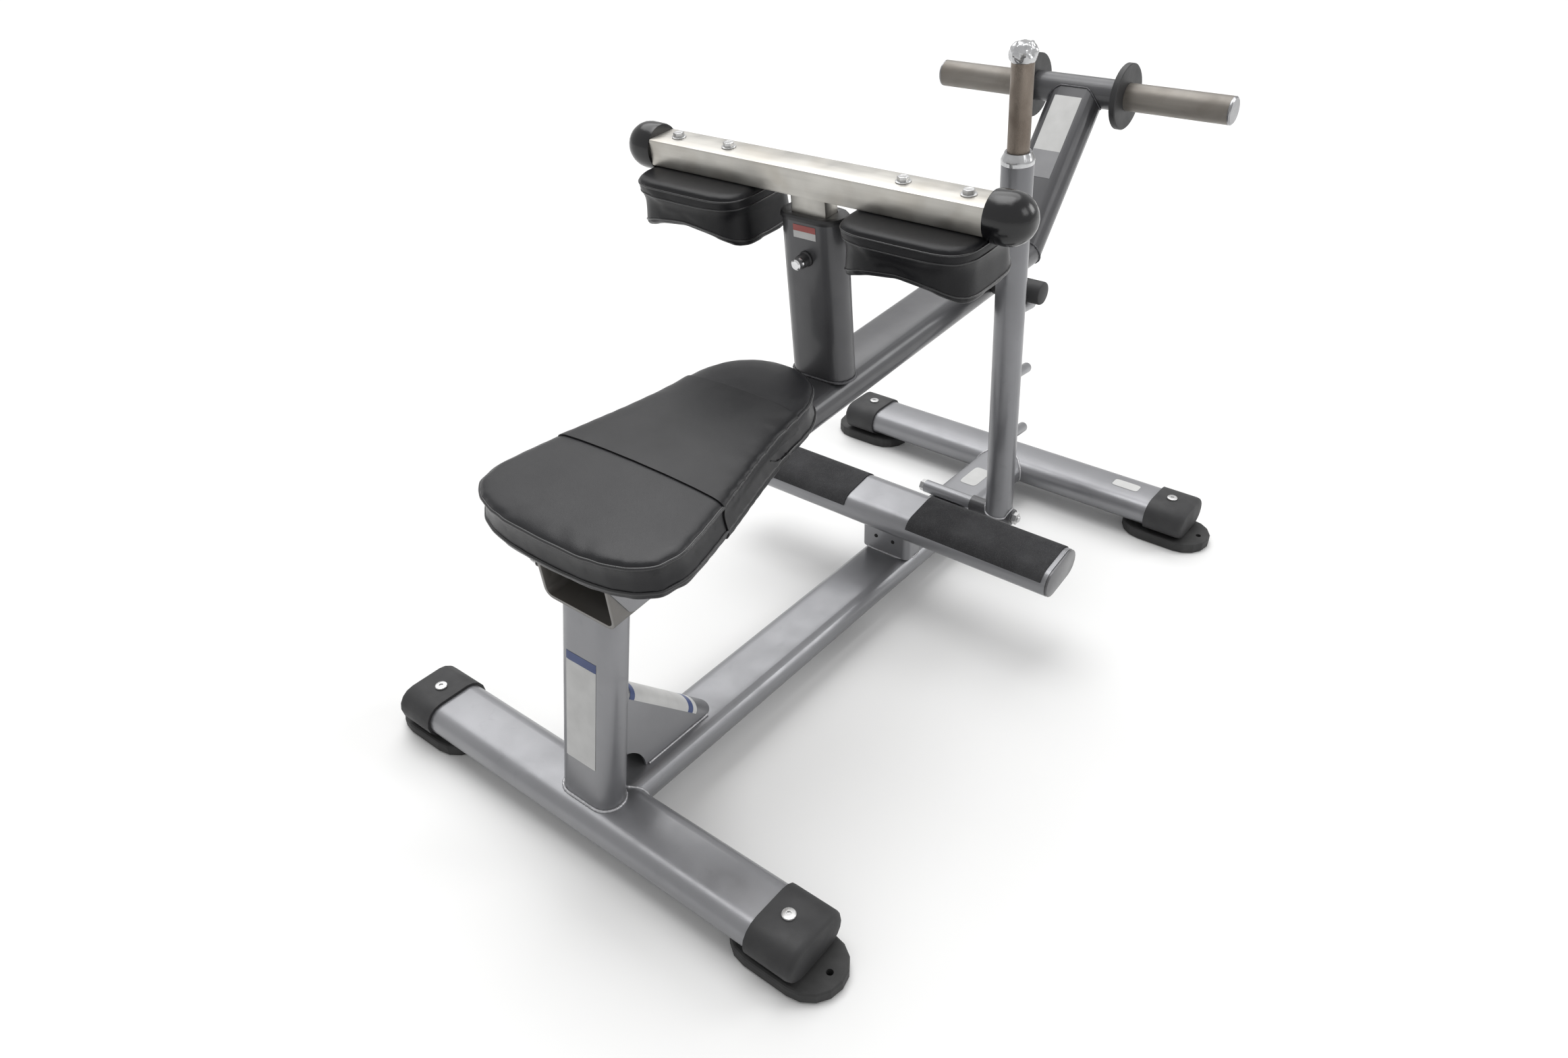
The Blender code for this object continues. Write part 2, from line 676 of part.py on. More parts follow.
def seat_columns():
    """Outline points from the rear, round by the right, as (distance along, side)."""
    stations = seat_stations()
    right = [(a, 1) for a in stations]
    left = [(a, -1) for a in reversed(stations)]
    return right + left[1:-1]


def build_seat(vinyl, ply):
    """Board, crowned cushion and the stretch cover over the middle of it."""
    columns = seat_columns()
    board = []
    for height in (0.0, BOARD_T):
        board.append([seat_point(a, s, inset=BOARD_INSET + SEAT_GAP, height=height) for a, s in columns])
    add_piece("seat_board", loft(board), ply)
    edge, crown = seat_profile()
    rings = [[seat_point(a, s, share=1.0, height=BOARD_T + SEAT_GAP) for a, s in columns]]
    rings.append([seat_point(a, s, inset=BOARD_INSET, height=BOARD_T + SEAT_GAP) for a, s in columns])
    rings.append([seat_point(a, s, inset=BOARD_INSET, height=0.0) for a, s in columns])
    rings += [[seat_point(a, s, inset=i, height=h) for a, s in columns] for i, h in edge]
    rings += [[seat_point(a, s, share=f, height=h) for a, s in columns] for f, h in crown]
    add_piece("seat_pad", skin(rings), vinyl, sharp=50)
    build_cover(vinyl)


def skin(rings):
    """Skin rings whose first and last ring close up on a middle line."""
    bm = bmesh.new()
    loops = [[bm.verts.new(place) for place in ring] for ring in rings]
    for first, second in zip(loops, loops[1:]):
        ring_faces(bm, first, second)
    bmesh.ops.remove_doubles(bm, verts=bm.verts, dist=1e-6)
    return bm


def cover_half(along, grow):
    """One side of the cover's section, from its rim under the seat up to the middle."""
    edge, crown = seat_profile(grow)
    half = [seat_point(along, 1, inset=edge[0][0] + COVER_TUCK, height=-grow)]
    half += [seat_point(along, 1, inset=i, height=h) for i, h in edge]
    half += [seat_point(along, 1, share=f, height=h) for f, h in crown]
    return half


def build_cover(vinyl):
    """Stretch cover, a thin sleeve over the middle of the cushion with its rims under it."""
    rings = []
    for along in seat_stations():
        if not COVER_START - SEAT_GAP < along < COVER_START + COVER_LENGTH + SEAT_GAP:
            continue
        layers = []
        for grow in (SEAT_GAP, SEAT_GAP + COVER_T):
            half = cover_half(along, grow)
            layers.append(half + [Vector((-p.x, p.y, p.z)) for p in half[-2::-1]])
        rings.append(layers[0] + layers[1][::-1])
    add_piece("seat_cover", loft(rings), vinyl, sharp=50)


def build_footrest(paint, grip):
    """Footrest tube on its stub, with two grip sheets and two end plates."""
    shape = rounded_outline(STUB_W, STUB_D, STUB_CORNER, 3)
    hollow = rounded_outline(STUB_W - 2 * STUB_WALL, STUB_D - 2 * STUB_WALL, STUB_CORNER - STUB_WALL, 3)
    up = Line(STUB_Y, TUBE_TOP, 90)
    rest = Line(REST_Y, REST_Z, REST_TILT)
    floor = (Vector((0, 0, TUBE_TOP + SEAT_GAP)), Vector((0, 0, 1)))
    ceiling = (rest.at(0.0, -TUBE_H / 2 - SEAT_GAP), rest.normal())
    stub = add_piece("footrest_stub", line_tube(up, shape, hollow, floor, ceiling), paint)
    clear = oval_outline(TUBE_W + 2 * SEAT_GAP, TUBE_H + 2 * SEAT_GAP)
    cut_away(stub, x_tube(-TUBE_W, TUBE_W, clear, None, REST_Y, REST_Z, REST_TILT), "stub_cope")
    tube = x_tube(-REST_HALF, REST_HALF, OUTER, INNER, REST_Y, REST_Z, REST_TILT)
    add_piece("footrest_tube", tube, paint)
    face = oval_outline(TUBE_W - 0.001, TUBE_H - 0.001)
    for name, side in (("left", -1), ("right", 1)):
        x0 = side * (REST_HALF + SEAT_GAP)
        x1 = side * (REST_HALF + SEAT_GAP + REST_PLATE_T)
        plate = x_tube(x0, x1, face, None, REST_Y, REST_Z, REST_TILT)
        add_piece(f"footrest_{name}_end_plate", plate, paint)
        build_grip(f"footrest_{name}_grip", side, grip)


def build_grip(name, side, grip):
    """Grip sheet wrapped over the footrest's top and down its near edge."""
    radius = TUBE_H / 2 + SEAT_GAP
    flat = TUBE_W / 2 - TUBE_H / 2
    path = [(flat + radius * math.sin(math.radians(a)), radius * math.cos(math.radians(a)))
            for a in (60, 40, 20, 0)]
    path += [(-flat - radius * math.sin(math.radians(a)), radius * math.cos(math.radians(a)))
             for a in (0, 15, 30, 45, 60)]
    grown = (radius + REST_GRIP_T) / radius
    outer = []
    for u, v in path:
        anchor = flat if u > 0 else -flat
        outer.append((anchor + (u - anchor) * grown, v * grown))
    section = path + outer[::-1]
    x0 = side * REST_GRIP_IN
    x1 = side * (REST_HALF - REST_GRIP_END)
    rings = [x_ring(x0, section, REST_Y, REST_Z, REST_TILT), x_ring(x1, section, REST_Y, REST_Z, REST_TILT)]
    add_piece(name, loft(rings), grip)


def build_lever(paint, rubber, steel, chrome, plastic, axis):
    """Everything that swings up and down on the pivot under the seat."""
    bush_r = PIVOT_BOLT_R + RUN_GAP
    seat_r = bush_r + PIVOT_BUSH_T
    hub = turned_x([(-HUB_HALF, PIVOT_HUB_R), (HUB_HALF, PIVOT_HUB_R), (HUB_HALF, seat_r + SEAT_GAP),
                    (-HUB_HALF, seat_r + SEAT_GAP)], PIVOT_Y, PIVOT_Z, hollow=True)
    add_piece("lever_hub", hub, paint, axis)
    for name, side in (("left", -1), ("right", 1)):
        inside = HUB_HALF - 0.025
        flange = HUB_HALF + SEAT_GAP
        profile = [(side * inside, bush_r), (side * inside, seat_r), (side * flange, seat_r),
                   (side * flange, PIVOT_FLANGE_R), (side * (flange + PIVOT_FLANGE_T), PIVOT_FLANGE_R),
                   (side * (flange + PIVOT_FLANGE_T), bush_r)]
        add_piece(f"{name}_pivot_bush", turned_x(profile, PIVOT_Y, PIVOT_Z, hollow=True), plastic, axis)

    half_knee = (BEAM_RISE + ARM_ANGLE) / 2
    knee_normal = Line(0, 0, half_knee).direction()
    beam_end = (KNEE - BEAM.direction() * SEAT_GAP, knee_normal)
    beam = line_tube(BEAM, OUTER, INNER, square_cut(BEAM, 0.0), beam_end)
    beam = add_piece("lever_beam", beam, paint, axis)
    cope = turned_x([(-TUBE_W, PIVOT_HUB_R + SEAT_GAP), (TUBE_W, PIVOT_HUB_R + SEAT_GAP)], PIVOT_Y, PIVOT_Z)
    cope_box = line_tube(Line(PIVOT_Y, PIVOT_Z, BEAM_RISE), rounded_outline(TUBE_W * 2, TUBE_H * 2, 0.001, 1), None,
                         square_cut(BEAM, -TUBE_W), square_cut(BEAM, 0.004))
    cut_away(beam, cope, "beam_cope")
    cut_away(beam, cope_box, "beam_trim")

    arm_start = (KNEE + ARM.direction() * SEAT_GAP, knee_normal)
    arm = line_tube(ARM, OUTER, INNER, arm_start, square_cut(ARM, ARM_LENGTH - CROSS_R * 0.2))
    arm = add_piece("weight_arm", arm, paint, axis)
    cope = turned_x([(-TUBE_W, CROSS_R + SEAT_GAP), (TUBE_W, CROSS_R + SEAT_GAP)], CROSS.y, CROSS.z, steps=32)
    cut_away(arm, cope, "arm_cope")

    build_thigh_post(paint, plastic, steel, axis)
    build_horns(paint, rubber, steel, chrome, axis)
    build_roller(paint, rubber, axis)


def build_thigh_post(paint, plastic, steel, axis):
    """Upright on the beam, its collar and the pop pin's barrel."""
    base = (BEAM.at(0.0, TUBE_H / 2 + SEAT_GAP), BEAM.normal())
    top = square_cut(THIGH_POST, THIGH_POST_TOP)
    post = line_tube(THIGH_POST, OUTER, INNER, base, top)
    post = add_piece("thigh_post", post, paint, axis)
    pin_line = Line(THIGH_POST.at(POP_AT).y, THIGH_POST.at(POP_AT).z, 180 + THIGH_POST_LEAN)
    hole = turned_line(pin_line, [(0.0, POP_PLUNGER_R + RUN_GAP), (TUBE_H, POP_PLUNGER_R + RUN_GAP)], steps=12)
    cut_away(post, hole, "post_pin_hole")

    steps = 4
    sliver = 0.0002
    inner_w = TUBE_W - 2 * TUBE_WALL - 2 * SEAT_GAP
    inner_h = TUBE_H - 2 * TUBE_WALL - 2 * SEAT_GAP
    plug = rounded_outline(inner_w, inner_h, inner_h / 2 - sliver, steps)
    lip = rounded_outline(TUBE_W + 2 * COLLAR_LIP, TUBE_H + 2 * COLLAR_LIP, TUBE_H / 2 + COLLAR_LIP - sliver, steps)
    brow = rounded_outline(TUBE_W, TUBE_H, TUBE_H / 2 - sliver, steps)
    bore = rounded_outline(SLIDE_W + 2 * RUN_GAP, SLIDE_H + 2 * RUN_GAP, SLIDE_CORNER, steps)
    seat = THIGH_POST_TOP + SEAT_GAP
    levels = ((seat - COLLAR_DEPTH, plug), (seat, plug), (seat, lip), (seat + COLLAR_LIP_T * 0.6, lip),
              (seat + COLLAR_LIP_T, brow), (seat + COLLAR_LIP_T, bore), (seat - COLLAR_DEPTH, bore))
    rings = [line_ring(THIGH_POST, shape, *square_cut(THIGH_POST, level)) for level, shape in levels]
    add_piece("post_collar", loft(rings, closed=True), plastic, axis)

    face = TUBE_H / 2 + SEAT_GAP
    barrel = turned_line(pin_line, [(face, POP_BARREL_R), (face + 0.004, POP_BARREL_R),
                                    (face + 0.0055, POP_BARREL_R * 0.84), (face + POP_BARREL_L, POP_BARREL_R * 0.84),
                                    (face + POP_BARREL_L, POP_PLUNGER_R + RUN_GAP),
                                    (face, POP_PLUNGER_R + RUN_GAP)], steps=18, hollow=True)
    add_piece("pop_pin_barrel", barrel, plastic, axis)


def build_horns(paint, rubber, steel, chrome, axis):
    """Cross tube at the top of the weight arm, with a stop, a sleeve and a plug each side."""
    tube = turned_x([(-CROSS_HALF, CROSS_R), (CROSS_HALF, CROSS_R), (CROSS_HALF, CROSS_R - CROSS_WALL),
                     (-CROSS_HALF, CROSS_R - CROSS_WALL)], CROSS.y, CROSS.z, steps=32, hollow=True)
    add_piece("weight_cross_tube", tube, paint, axis)
    start = CROSS_HALF + SEAT_GAP
    for name, side in (("left", -1), ("right", 1)):
        sleeve = [(side * start, HORN_R), (side * HORN_END, HORN_R), (side * HORN_END, HORN_R - HORN_WALL),
                  (side * start, HORN_R - HORN_WALL)]
        sleeve = turned_x(sleeve, CROSS.y, CROSS.z, steps=32, hollow=True)
        add_piece(f"{name}_weight_sleeve", sleeve, steel, axis)
        bore = HORN_R + SEAT_GAP
        edge = 0.0015
        stop = [(side * start, bore), (side * start, STOP_R - edge), (side * (start + edge), STOP_R),
                (side * (start + STOP_T - edge), STOP_R), (side * (start + STOP_T), STOP_R - edge),
                (side * (start + STOP_T), bore)]
        stop = turned_x(stop, CROSS.y, CROSS.z, steps=40, hollow=True)
        add_piece(f"{name}_plate_stop", stop, rubber, axis)
        inside = HORN_R - HORN_WALL - SEAT_GAP
        face = HORN_END + SEAT_GAP
        plug = [(side * (HORN_END - PLUG_DEPTH), inside), (side * face, inside), (side * face, HORN_R),
                (side * (face + PLUG_T * 0.55), HORN_R), (side * (face + PLUG_T), HORN_R - 0.0025)]
        add_piece(f"{name}_sleeve_plug", turned_x(plug, CROSS.y, CROSS.z, steps=32), chrome, axis)


def roller_place():
    """Place of the catch roller's axis above the beam's, a set distance ahead of the post."""
    forward = Vector((0.0, CATCH.sin, -CATCH.cos))
    start = (BEAM.at(0.0, ROLLER_RISE) - CATCH.at(0.0)).dot(forward)
    rate = BEAM.direction().dot(forward)
    return BEAM.at((ROLLER_OFFSET - start) / rate, ROLLER_RISE)


def build_roller(paint, rubber, axis):
    """Steel stub out of the beam's right side with a rubber sleeve that rests on the catch."""
    place = roller_place()
    side = TUBE_W / 2
    root = side - 0.0015
    ends = [(root - 0.012, ROLLER_PIN_R), (ROLLER_END - 0.008, ROLLER_PIN_R)]
    pin = add_piece("roller_pin", turned_x(ends, place.y, place.z), paint, axis)
    clear = oval_outline(TUBE_W + 2 * SEAT_GAP, TUBE_H + 2 * SEAT_GAP)
    tube = line_tube(BEAM, clear, None, square_cut(BEAM, BEAM_LENGTH * 0.5),
                     square_cut(BEAM, BEAM_LENGTH * 1.1))
    cut_away(pin, tube, "roller_pin_cope")
    start = side + 0.002
    bore = ROLLER_PIN_R + SEAT_GAP
    profile = [(ROLLER_END - 0.008 + SEAT_GAP, bore), (start, bore), (start, ROLLER_R),
               (ROLLER_END - 0.003, ROLLER_R), (ROLLER_END - 0.0008, ROLLER_R - 0.0012),
               (ROLLER_END, ROLLER_R - 0.003)]
    add_piece("catch_roller", turned_x(profile, place.y, place.z, steps=28), rubber, axis)


def build_carriage(steel, rubber, vinyl, axis):
    """Sliding tube, crossbar, end domes and the two thigh pads."""
    shape = rounded_outline(SLIDE_W, SLIDE_H, SLIDE_CORNER, 2)
    wall = 2 * SLIDE_WALL
    hollow = rounded_outline(SLIDE_W - wall, SLIDE_H - wall, SLIDE_CORNER - SLIDE_WALL, 2)
    top = BAR_AT - BAR_H / 2 - SEAT_GAP
    slide = line_tube(THIGH_POST, shape, hollow, square_cut(THIGH_POST, top - SLIDE_LENGTH),
                      square_cut(THIGH_POST, top))
    slide = add_piece("pad_slide_tube", slide, steel, axis)
    for index in range(SLIDE_HOLES):
        spot = THIGH_POST.at(POP_AT - (index - 1) * SLIDE_HOLE_PITCH)
        line = Line(spot.y, spot.z, 180 + THIGH_POST_LEAN)
        cut_away(slide, turned_line(line, [(0.0, SLIDE_HOLE_R), (SLIDE_H, SLIDE_HOLE_R)], steps=12),
                 f"slide_hole_{index + 1}")

    tilt = THIGH_POST_LEAN
    bar = rounded_outline(BAR_W, BAR_H, BAR_CORNER, 2)
    bar_hollow = rounded_outline(BAR_W - 2 * BAR_WALL, BAR_H - 2 * BAR_WALL, BAR_CORNER - BAR_WALL, 2)
    crossbar = x_tube(-BAR_HALF, BAR_HALF, bar, bar_hollow, BAR_CENTRE.y, BAR_CENTRE.z, tilt)
    add_piece("pad_crossbar", crossbar, steel, axis)
    for name, side in (("left", -1), ("right", 1)):
        build_dome(f"{name}_bar_dome", side, rubber, axis)
        build_thigh_pad(f"{name}_thigh_pad", side, vinyl, axis)


def build_dome(name, side, rubber, axis):
    """Rubber dome over one end of the crossbar."""
    start = BAR_HALF + SEAT_GAP
    shoulder = DOME_LENGTH * 0.40
    profile = [(side * start, DOME_R * 0.955), (side * (start + 0.003), DOME_R * 0.985),
               (side * (start + shoulder), DOME_R)]
    for step in range(1, 7):
        angle = math.radians(90 * step / 7)
        x = start + shoulder + (DOME_LENGTH - shoulder) * math.sin(angle)
        profile.append((side * x, DOME_R * math.cos(angle)))
    add_piece(name, turned_x(profile, BAR_CENTRE.y, BAR_CENTRE.z, steps=28), rubber, axis)


def carriage_place(x, depth, height):
    """Place given across the machine, along the crossbar's depth and above its underside."""
    tilt = Line(BAR_CENTRE.y, BAR_CENTRE.z, THIGH_POST_LEAN)
    return tilt.at(depth, height - BAR_H / 2, x)


def build_thigh_pad(name, side, vinyl, axis):
    """Thigh cushion with a flat lid, a piped seam and an arched underside."""
    count = 28
    columns = []
    for index in range(count):
        angle = 2 * math.pi * index / count
        cos = math.cos(angle)
        sin = math.sin(angle)
        power = 0.42
        columns.append((math.copysign(abs(cos) ** power, cos), math.copysign(abs(sin) ** power, sin)))
    lid = THIGH_LID_T
    pipe = THIGH_PIPE_DROP
    low = -THIGH_PIPE_RISE
    levels = [(1.0, 0.0, 0.0), (0.30, 0.0, 0.0), (0.10, 0.0, 0.0), (0.035, 0.0018, 0.0),
              (0.006, pipe * 0.65, 0.0), (0.0, pipe, 0.0), (0.014, (pipe + lid) / 2, 0.0), (0.004, lid, 0.0),
              (0.045, lid + 0.0045, 0.0), (0.066, lid + 0.0120, 0.0), (0.050, low * 2, 1.0),
              (0.030, low, 1.0), (0.050, low * 0.35, 1.0), (0.120, 0.0, 1.0), (0.45, 0.0, 1.0),
              (1.0, 0.0, 1.0)]
    rings = []
    for inset, drop, from_under in levels:
        ring = []
        for u, v in columns:
            across = u * (1 - inset)
            deep = v * (1 - inset)
            under = THIGH_PAD_T + THIGH_PAD_ARCH * min(1.0, abs(across)) ** 2.2
            height = -(under * from_under + drop) - SEAT_GAP
            x = side * THIGH_PAD_X + across * THIGH_PAD_HALF_W
            ring.append(carriage_place(x, deep * THIGH_PAD_HALF_D, height))
        rings.append(ring)
    add_piece(name, skin(rings), vinyl, axis, sharp=50)


def build_pop_pin(chrome, axis):
    """Plunger and pull knob of the height pin, drawn in to the sliding tube's face."""
    spot = THIGH_POST.at(POP_AT)
    line = Line(spot.y, spot.z, 180 + THIGH_POST_LEAN)
    nose = SLIDE_H / 2 + SEAT_GAP
    face = TUBE_H / 2 + SEAT_GAP + POP_BARREL_L + SEAT_GAP
    profile = [(nose, POP_PLUNGER_R * 0.7), (nose + 0.0015, POP_PLUNGER_R), (face, POP_PLUNGER_R),
               (face, POP_KNOB_R * 0.9), (face + 0.001, POP_KNOB_R),
               (face + POP_KNOB_L * 0.45, POP_KNOB_R * 0.86),
               (face + POP_KNOB_L - 0.003, POP_KNOB_R), (face + POP_KNOB_L, POP_KNOB_R * 0.75)]
    add_piece("pop_pin", turned_line(line, profile, steps=18), chrome, axis)


def build_catch_mount(paint, zinc):
    """Cross tube on the spine and the bolt that the catch swings on."""
    bore = CATCH_BOLT_R + RUN_GAP
    tube = turned_x([(-CATCH_CROSS_HALF, CATCH_CROSS_R), (CATCH_CROSS_HALF, CATCH_CROSS_R),
                     (CATCH_CROSS_HALF, bore), (-CATCH_CROSS_HALF, bore)], CATCH_Y, CATCH_Z, hollow=True)
    add_piece("catch_cross_tube", tube, paint)
    start = CATCH_CROSS_HALF + SEAT_GAP
    end = CATCH_HUB_END + RUN_GAP
    outer = end + CATCH_HEAD_T
    hexagon = circle_outline(CATCH_HEAD_R, 6)
    head = loft([x_ring(x, hexagon, CATCH_Y, CATCH_Z) for x in (-start - CATCH_HEAD_T, -start)])
    nut = loft([x_ring(x, hexagon, CATCH_Y, CATCH_Z) for x in (end, outer)])
    shank = turned_x([(-start - 0.002, CATCH_BOLT_R), (outer + 0.003, CATCH_BOLT_R),
                      (outer + 0.004, CATCH_BOLT_R - 0.001)], CATCH_Y, CATCH_Z)
    bolt = join_solids(join_solids(head, shank, "catch_head"), nut, "catch_nut")
    add_piece("catch_pivot_bolt", bolt, zinc)


def build_catch(paint, dark, steel, zinc, axis):
    """Swinging catch post with its hub, pegs and hand grip."""
    bore = CATCH_BOLT_R + RUN_GAP
    start = CATCH_CROSS_HALF + RUN_GAP
    sides = [(start, CATCH_HUB_R), (CATCH_HUB_END, CATCH_HUB_R), (CATCH_HUB_END, bore), (start, bore)]
    hub = turned_x(sides, CATCH_Y, CATCH_Z, hollow=True)
    add_piece("catch_hub", hub, dark, axis)
    neck = CATCH_SHOULDER + CATCH_NECK_H
    tube = turned_line(CATCH, [(0.004, CATCH_TUBE_R), (CATCH_SHOULDER, CATCH_TUBE_R),
                               (neck, HANDLE_R + SEAT_GAP + CATCH_WALL), (neck, HANDLE_R + SEAT_GAP),
                               (CATCH_SHOULDER - CATCH_NECK_H, HANDLE_R + SEAT_GAP),
                               (CATCH_SHOULDER - CATCH_NECK_H, CATCH_TUBE_R - CATCH_WALL),
                               (0.004, CATCH_TUBE_R - CATCH_WALL)],
                       CATCH_X, steps=28, hollow=True)
    post = add_piece("catch_post", tube, paint, axis)
    around = CATCH_HUB_R + SEAT_GAP
    cope = turned_x([(0.0, around), (CATCH_HUB_END + 0.05, around)], CATCH_Y, CATCH_Z)
    cut_away(post, cope, "catch_cope")

    square = Line(0.0, 0.0, CATCH_LEAN - PEG_DIP).normal()
    drop = (roller_place() - CATCH.at(0.0)).dot(square) - ROLLER_R - ROLLER_GAP - PEG_R
    level = drop / CATCH.direction().dot(square)
    for index, name in enumerate(("upper", "middle", "lower")):
        spot = CATCH.at(level - index * PEG_PITCH)
        line = Line(spot.y, spot.z, CATCH_LEAN - PEG_DIP)
        profile = [(CATCH_TUBE_R * 0.5, PEG_R), (PEG_REACH - PEG_TIP_R, PEG_R)]
        for step in (1, 2, 3):
            angle = math.radians(30 * step)
            profile.append((PEG_REACH - PEG_TIP_R * (1 - math.sin(angle)),
                            PEG_R - PEG_TIP_R * (1 - math.cos(angle))))
        peg = add_piece(f"{name}_catch_peg", turned_line(line, profile, CATCH_X, steps=16), steel, axis)
        clear = CATCH_TUBE_R + SEAT_GAP
        post_solid = turned_line(CATCH, [(-0.05, clear), (CATCH_SHOULDER, clear)], CATCH_X, steps=28)
        cut_away(peg, post_solid, f"{name}_peg_cope")

    grip_end = CATCH_SHOULDER + CATCH_NECK_H + HANDLE_LENGTH
    foot = CATCH_SHOULDER - CATCH_NECK_H
    handle = turned_line(CATCH, [(foot, HANDLE_R), (grip_end, HANDLE_R), (grip_end, HANDLE_R - HANDLE_WALL),
                                 (foot, HANDLE_R - HANDLE_WALL)], CATCH_X, steps=24, hollow=True)
    add_piece("catch_handle", handle, steel, axis)
    top = grip_end + SEAT_GAP
    skirt = HANDLE_R + SEAT_GAP
    profile = [(top, skirt), (top - HANDLE_CAP_L * 0.45, skirt),
               (top - HANDLE_CAP_L * 0.45, HANDLE_CAP_R * 0.86),
               (top - HANDLE_CAP_L * 0.10, HANDLE_CAP_R), (top + HANDLE_CAP_L * 0.30, HANDLE_CAP_R * 0.95),
               (top + HANDLE_CAP_L * 0.50, HANDLE_CAP_R * 0.70),
               (top + HANDLE_CAP_L * 0.55, HANDLE_CAP_R * 0.35)]
    add_piece("handle_cap", turned_line(CATCH, profile, CATCH_X, steps=20), zinc, axis)


def main():
    """Build the whole machine."""
    clear_scene()
    paint = make_material("silver_paint", (0.42, 0.42, 0.43), 0.42, 0.55)
    dark = make_material("graphite_paint", (0.09, 0.09, 0.10), 0.45, 0.4)
    rubber = make_material("black_rubber", (0.02, 0.02, 0.022), 0.7)
    vinyl = make_material("black_vinyl", (0.03, 0.03, 0.033), 0.5)
    grip = make_material("grip_sheet", (0.04, 0.04, 0.042), 0.9)
    steel = make_material("bare_steel", (0.50, 0.47, 0.42), 0.4, 0.9)
    chrome = make_material("bright_steel", (0.75, 0.75, 0.76), 0.2, 1.0)
    zinc = make_material("zinc_plated", (0.60, 0.60, 0.60), 0.35, 1.0)
    plastic = make_material("black_plastic", (0.025, 0.025, 0.028), 0.45)
    ply = make_material("plywood", (0.45, 0.31, 0.18), 0.7)

    lever_axis = axis_empty("lever_axis", (0.0, PIVOT_Y, PIVOT_Z))
    catch_axis = axis_empty("catch_axis", (CATCH_X, CATCH_Y, CATCH_Z))
    slide_axis = axis_empty("thigh_slide_axis", THIGH_POST.at(THIGH_POST_TOP))
    pin_axis = axis_empty("pop_pin_axis", THIGH_POST.at(POP_AT))

    build_base(paint)
    build_feet(rubber)
    build_seat_post(paint)
    build_gusset(paint)
    build_bracket(paint, zinc)
    build_seat(vinyl, ply)
    build_footrest(paint, grip)
    build_catch_mount(paint, zinc)
    build_lever(dark, rubber, steel, chrome, plastic, lever_axis)
    build_carriage(steel, rubber, vinyl, slide_axis)
    build_pop_pin(chrome, pin_axis)
    build_catch(paint, dark, steel, zinc, catch_axis)


if __name__ == "__main__":
    main()
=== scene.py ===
"""Dressed model of a seated calf raise machine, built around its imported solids."""

import json
import logging
import math
from abc import ABC, abstractmethod
from collections.abc import Callable
from dataclasses import dataclass, field
from enum import Enum

import bmesh
import bpy
from mathutils import Matrix, Vector, noise
from mathutils.kdtree import KDTree

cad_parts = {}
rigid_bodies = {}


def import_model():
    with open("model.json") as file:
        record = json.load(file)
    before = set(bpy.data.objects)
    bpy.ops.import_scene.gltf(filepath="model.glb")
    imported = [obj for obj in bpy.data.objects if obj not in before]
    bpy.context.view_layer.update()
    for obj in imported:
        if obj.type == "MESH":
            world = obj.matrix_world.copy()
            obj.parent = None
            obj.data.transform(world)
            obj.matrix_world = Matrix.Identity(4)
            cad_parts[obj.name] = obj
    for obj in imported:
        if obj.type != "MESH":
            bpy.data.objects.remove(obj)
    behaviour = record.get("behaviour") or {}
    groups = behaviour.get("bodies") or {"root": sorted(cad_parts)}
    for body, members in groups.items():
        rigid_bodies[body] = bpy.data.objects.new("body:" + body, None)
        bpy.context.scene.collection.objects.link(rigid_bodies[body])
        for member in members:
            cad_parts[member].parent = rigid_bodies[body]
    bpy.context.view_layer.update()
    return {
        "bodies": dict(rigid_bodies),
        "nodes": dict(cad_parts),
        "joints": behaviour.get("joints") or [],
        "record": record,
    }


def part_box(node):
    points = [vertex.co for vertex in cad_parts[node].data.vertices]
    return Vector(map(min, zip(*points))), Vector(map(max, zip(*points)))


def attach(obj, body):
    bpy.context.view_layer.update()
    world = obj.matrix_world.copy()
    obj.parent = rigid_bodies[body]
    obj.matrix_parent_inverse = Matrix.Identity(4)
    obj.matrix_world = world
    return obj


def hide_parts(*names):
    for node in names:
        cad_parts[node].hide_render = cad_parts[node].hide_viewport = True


LOG = logging.getLogger("calf_raise")
Color = tuple[float, float, float]
Piece = bpy.types.Object
Socket = bpy.types.NodeSocket
Face = bmesh.types.BMFace


class Slot(Enum):
    """Material slots of the part's record."""

    SILVER = "silver_paint"
    GRAPHITE = "graphite_paint"
    RUBBER = "black_rubber"
    VINYL = "black_vinyl"
    GRIP = "grip_sheet"
    STEEL = "bare_steel"
    BRIGHT = "bright_steel"
    ZINC = "zinc_plated"
    PLASTIC = "black_plastic"
    WOOD = "plywood"


@dataclass(frozen=True)
class Look:
    """A finished material with the slot it belongs to."""

    material: bpy.types.Material
    slot: Slot


def feed(tree: bpy.types.NodeTree, node: bpy.types.Node, inputs: dict) -> None:
    """Give a node's inputs their values or their sources.

    Args:
        tree: the tree it stands in.
        node: the node.
        inputs: a value or a socket for each input, by name or number.
    """
    for key, value in inputs.items():
        if isinstance(value, Socket):
            tree.links.new(value, node.inputs[key])
        else:
            node.inputs[key].default_value = value


def add_node(tree: bpy.types.NodeTree, kind: str, inputs: dict, **settings: object) -> bpy.types.Node:
    """Add a shader node.

    Args:
        tree: the tree it goes into.
        kind: its type, without the prefix that all shader nodes share.
        inputs: a value or a socket for each input, by name or number.
        settings: the node's own settings.

    Returns:
        The node.
    """
    node = tree.nodes.new("ShaderNode" + kind)
    for name, value in settings.items():
        setattr(node, name, value)
    feed(tree, node, inputs)
    return node


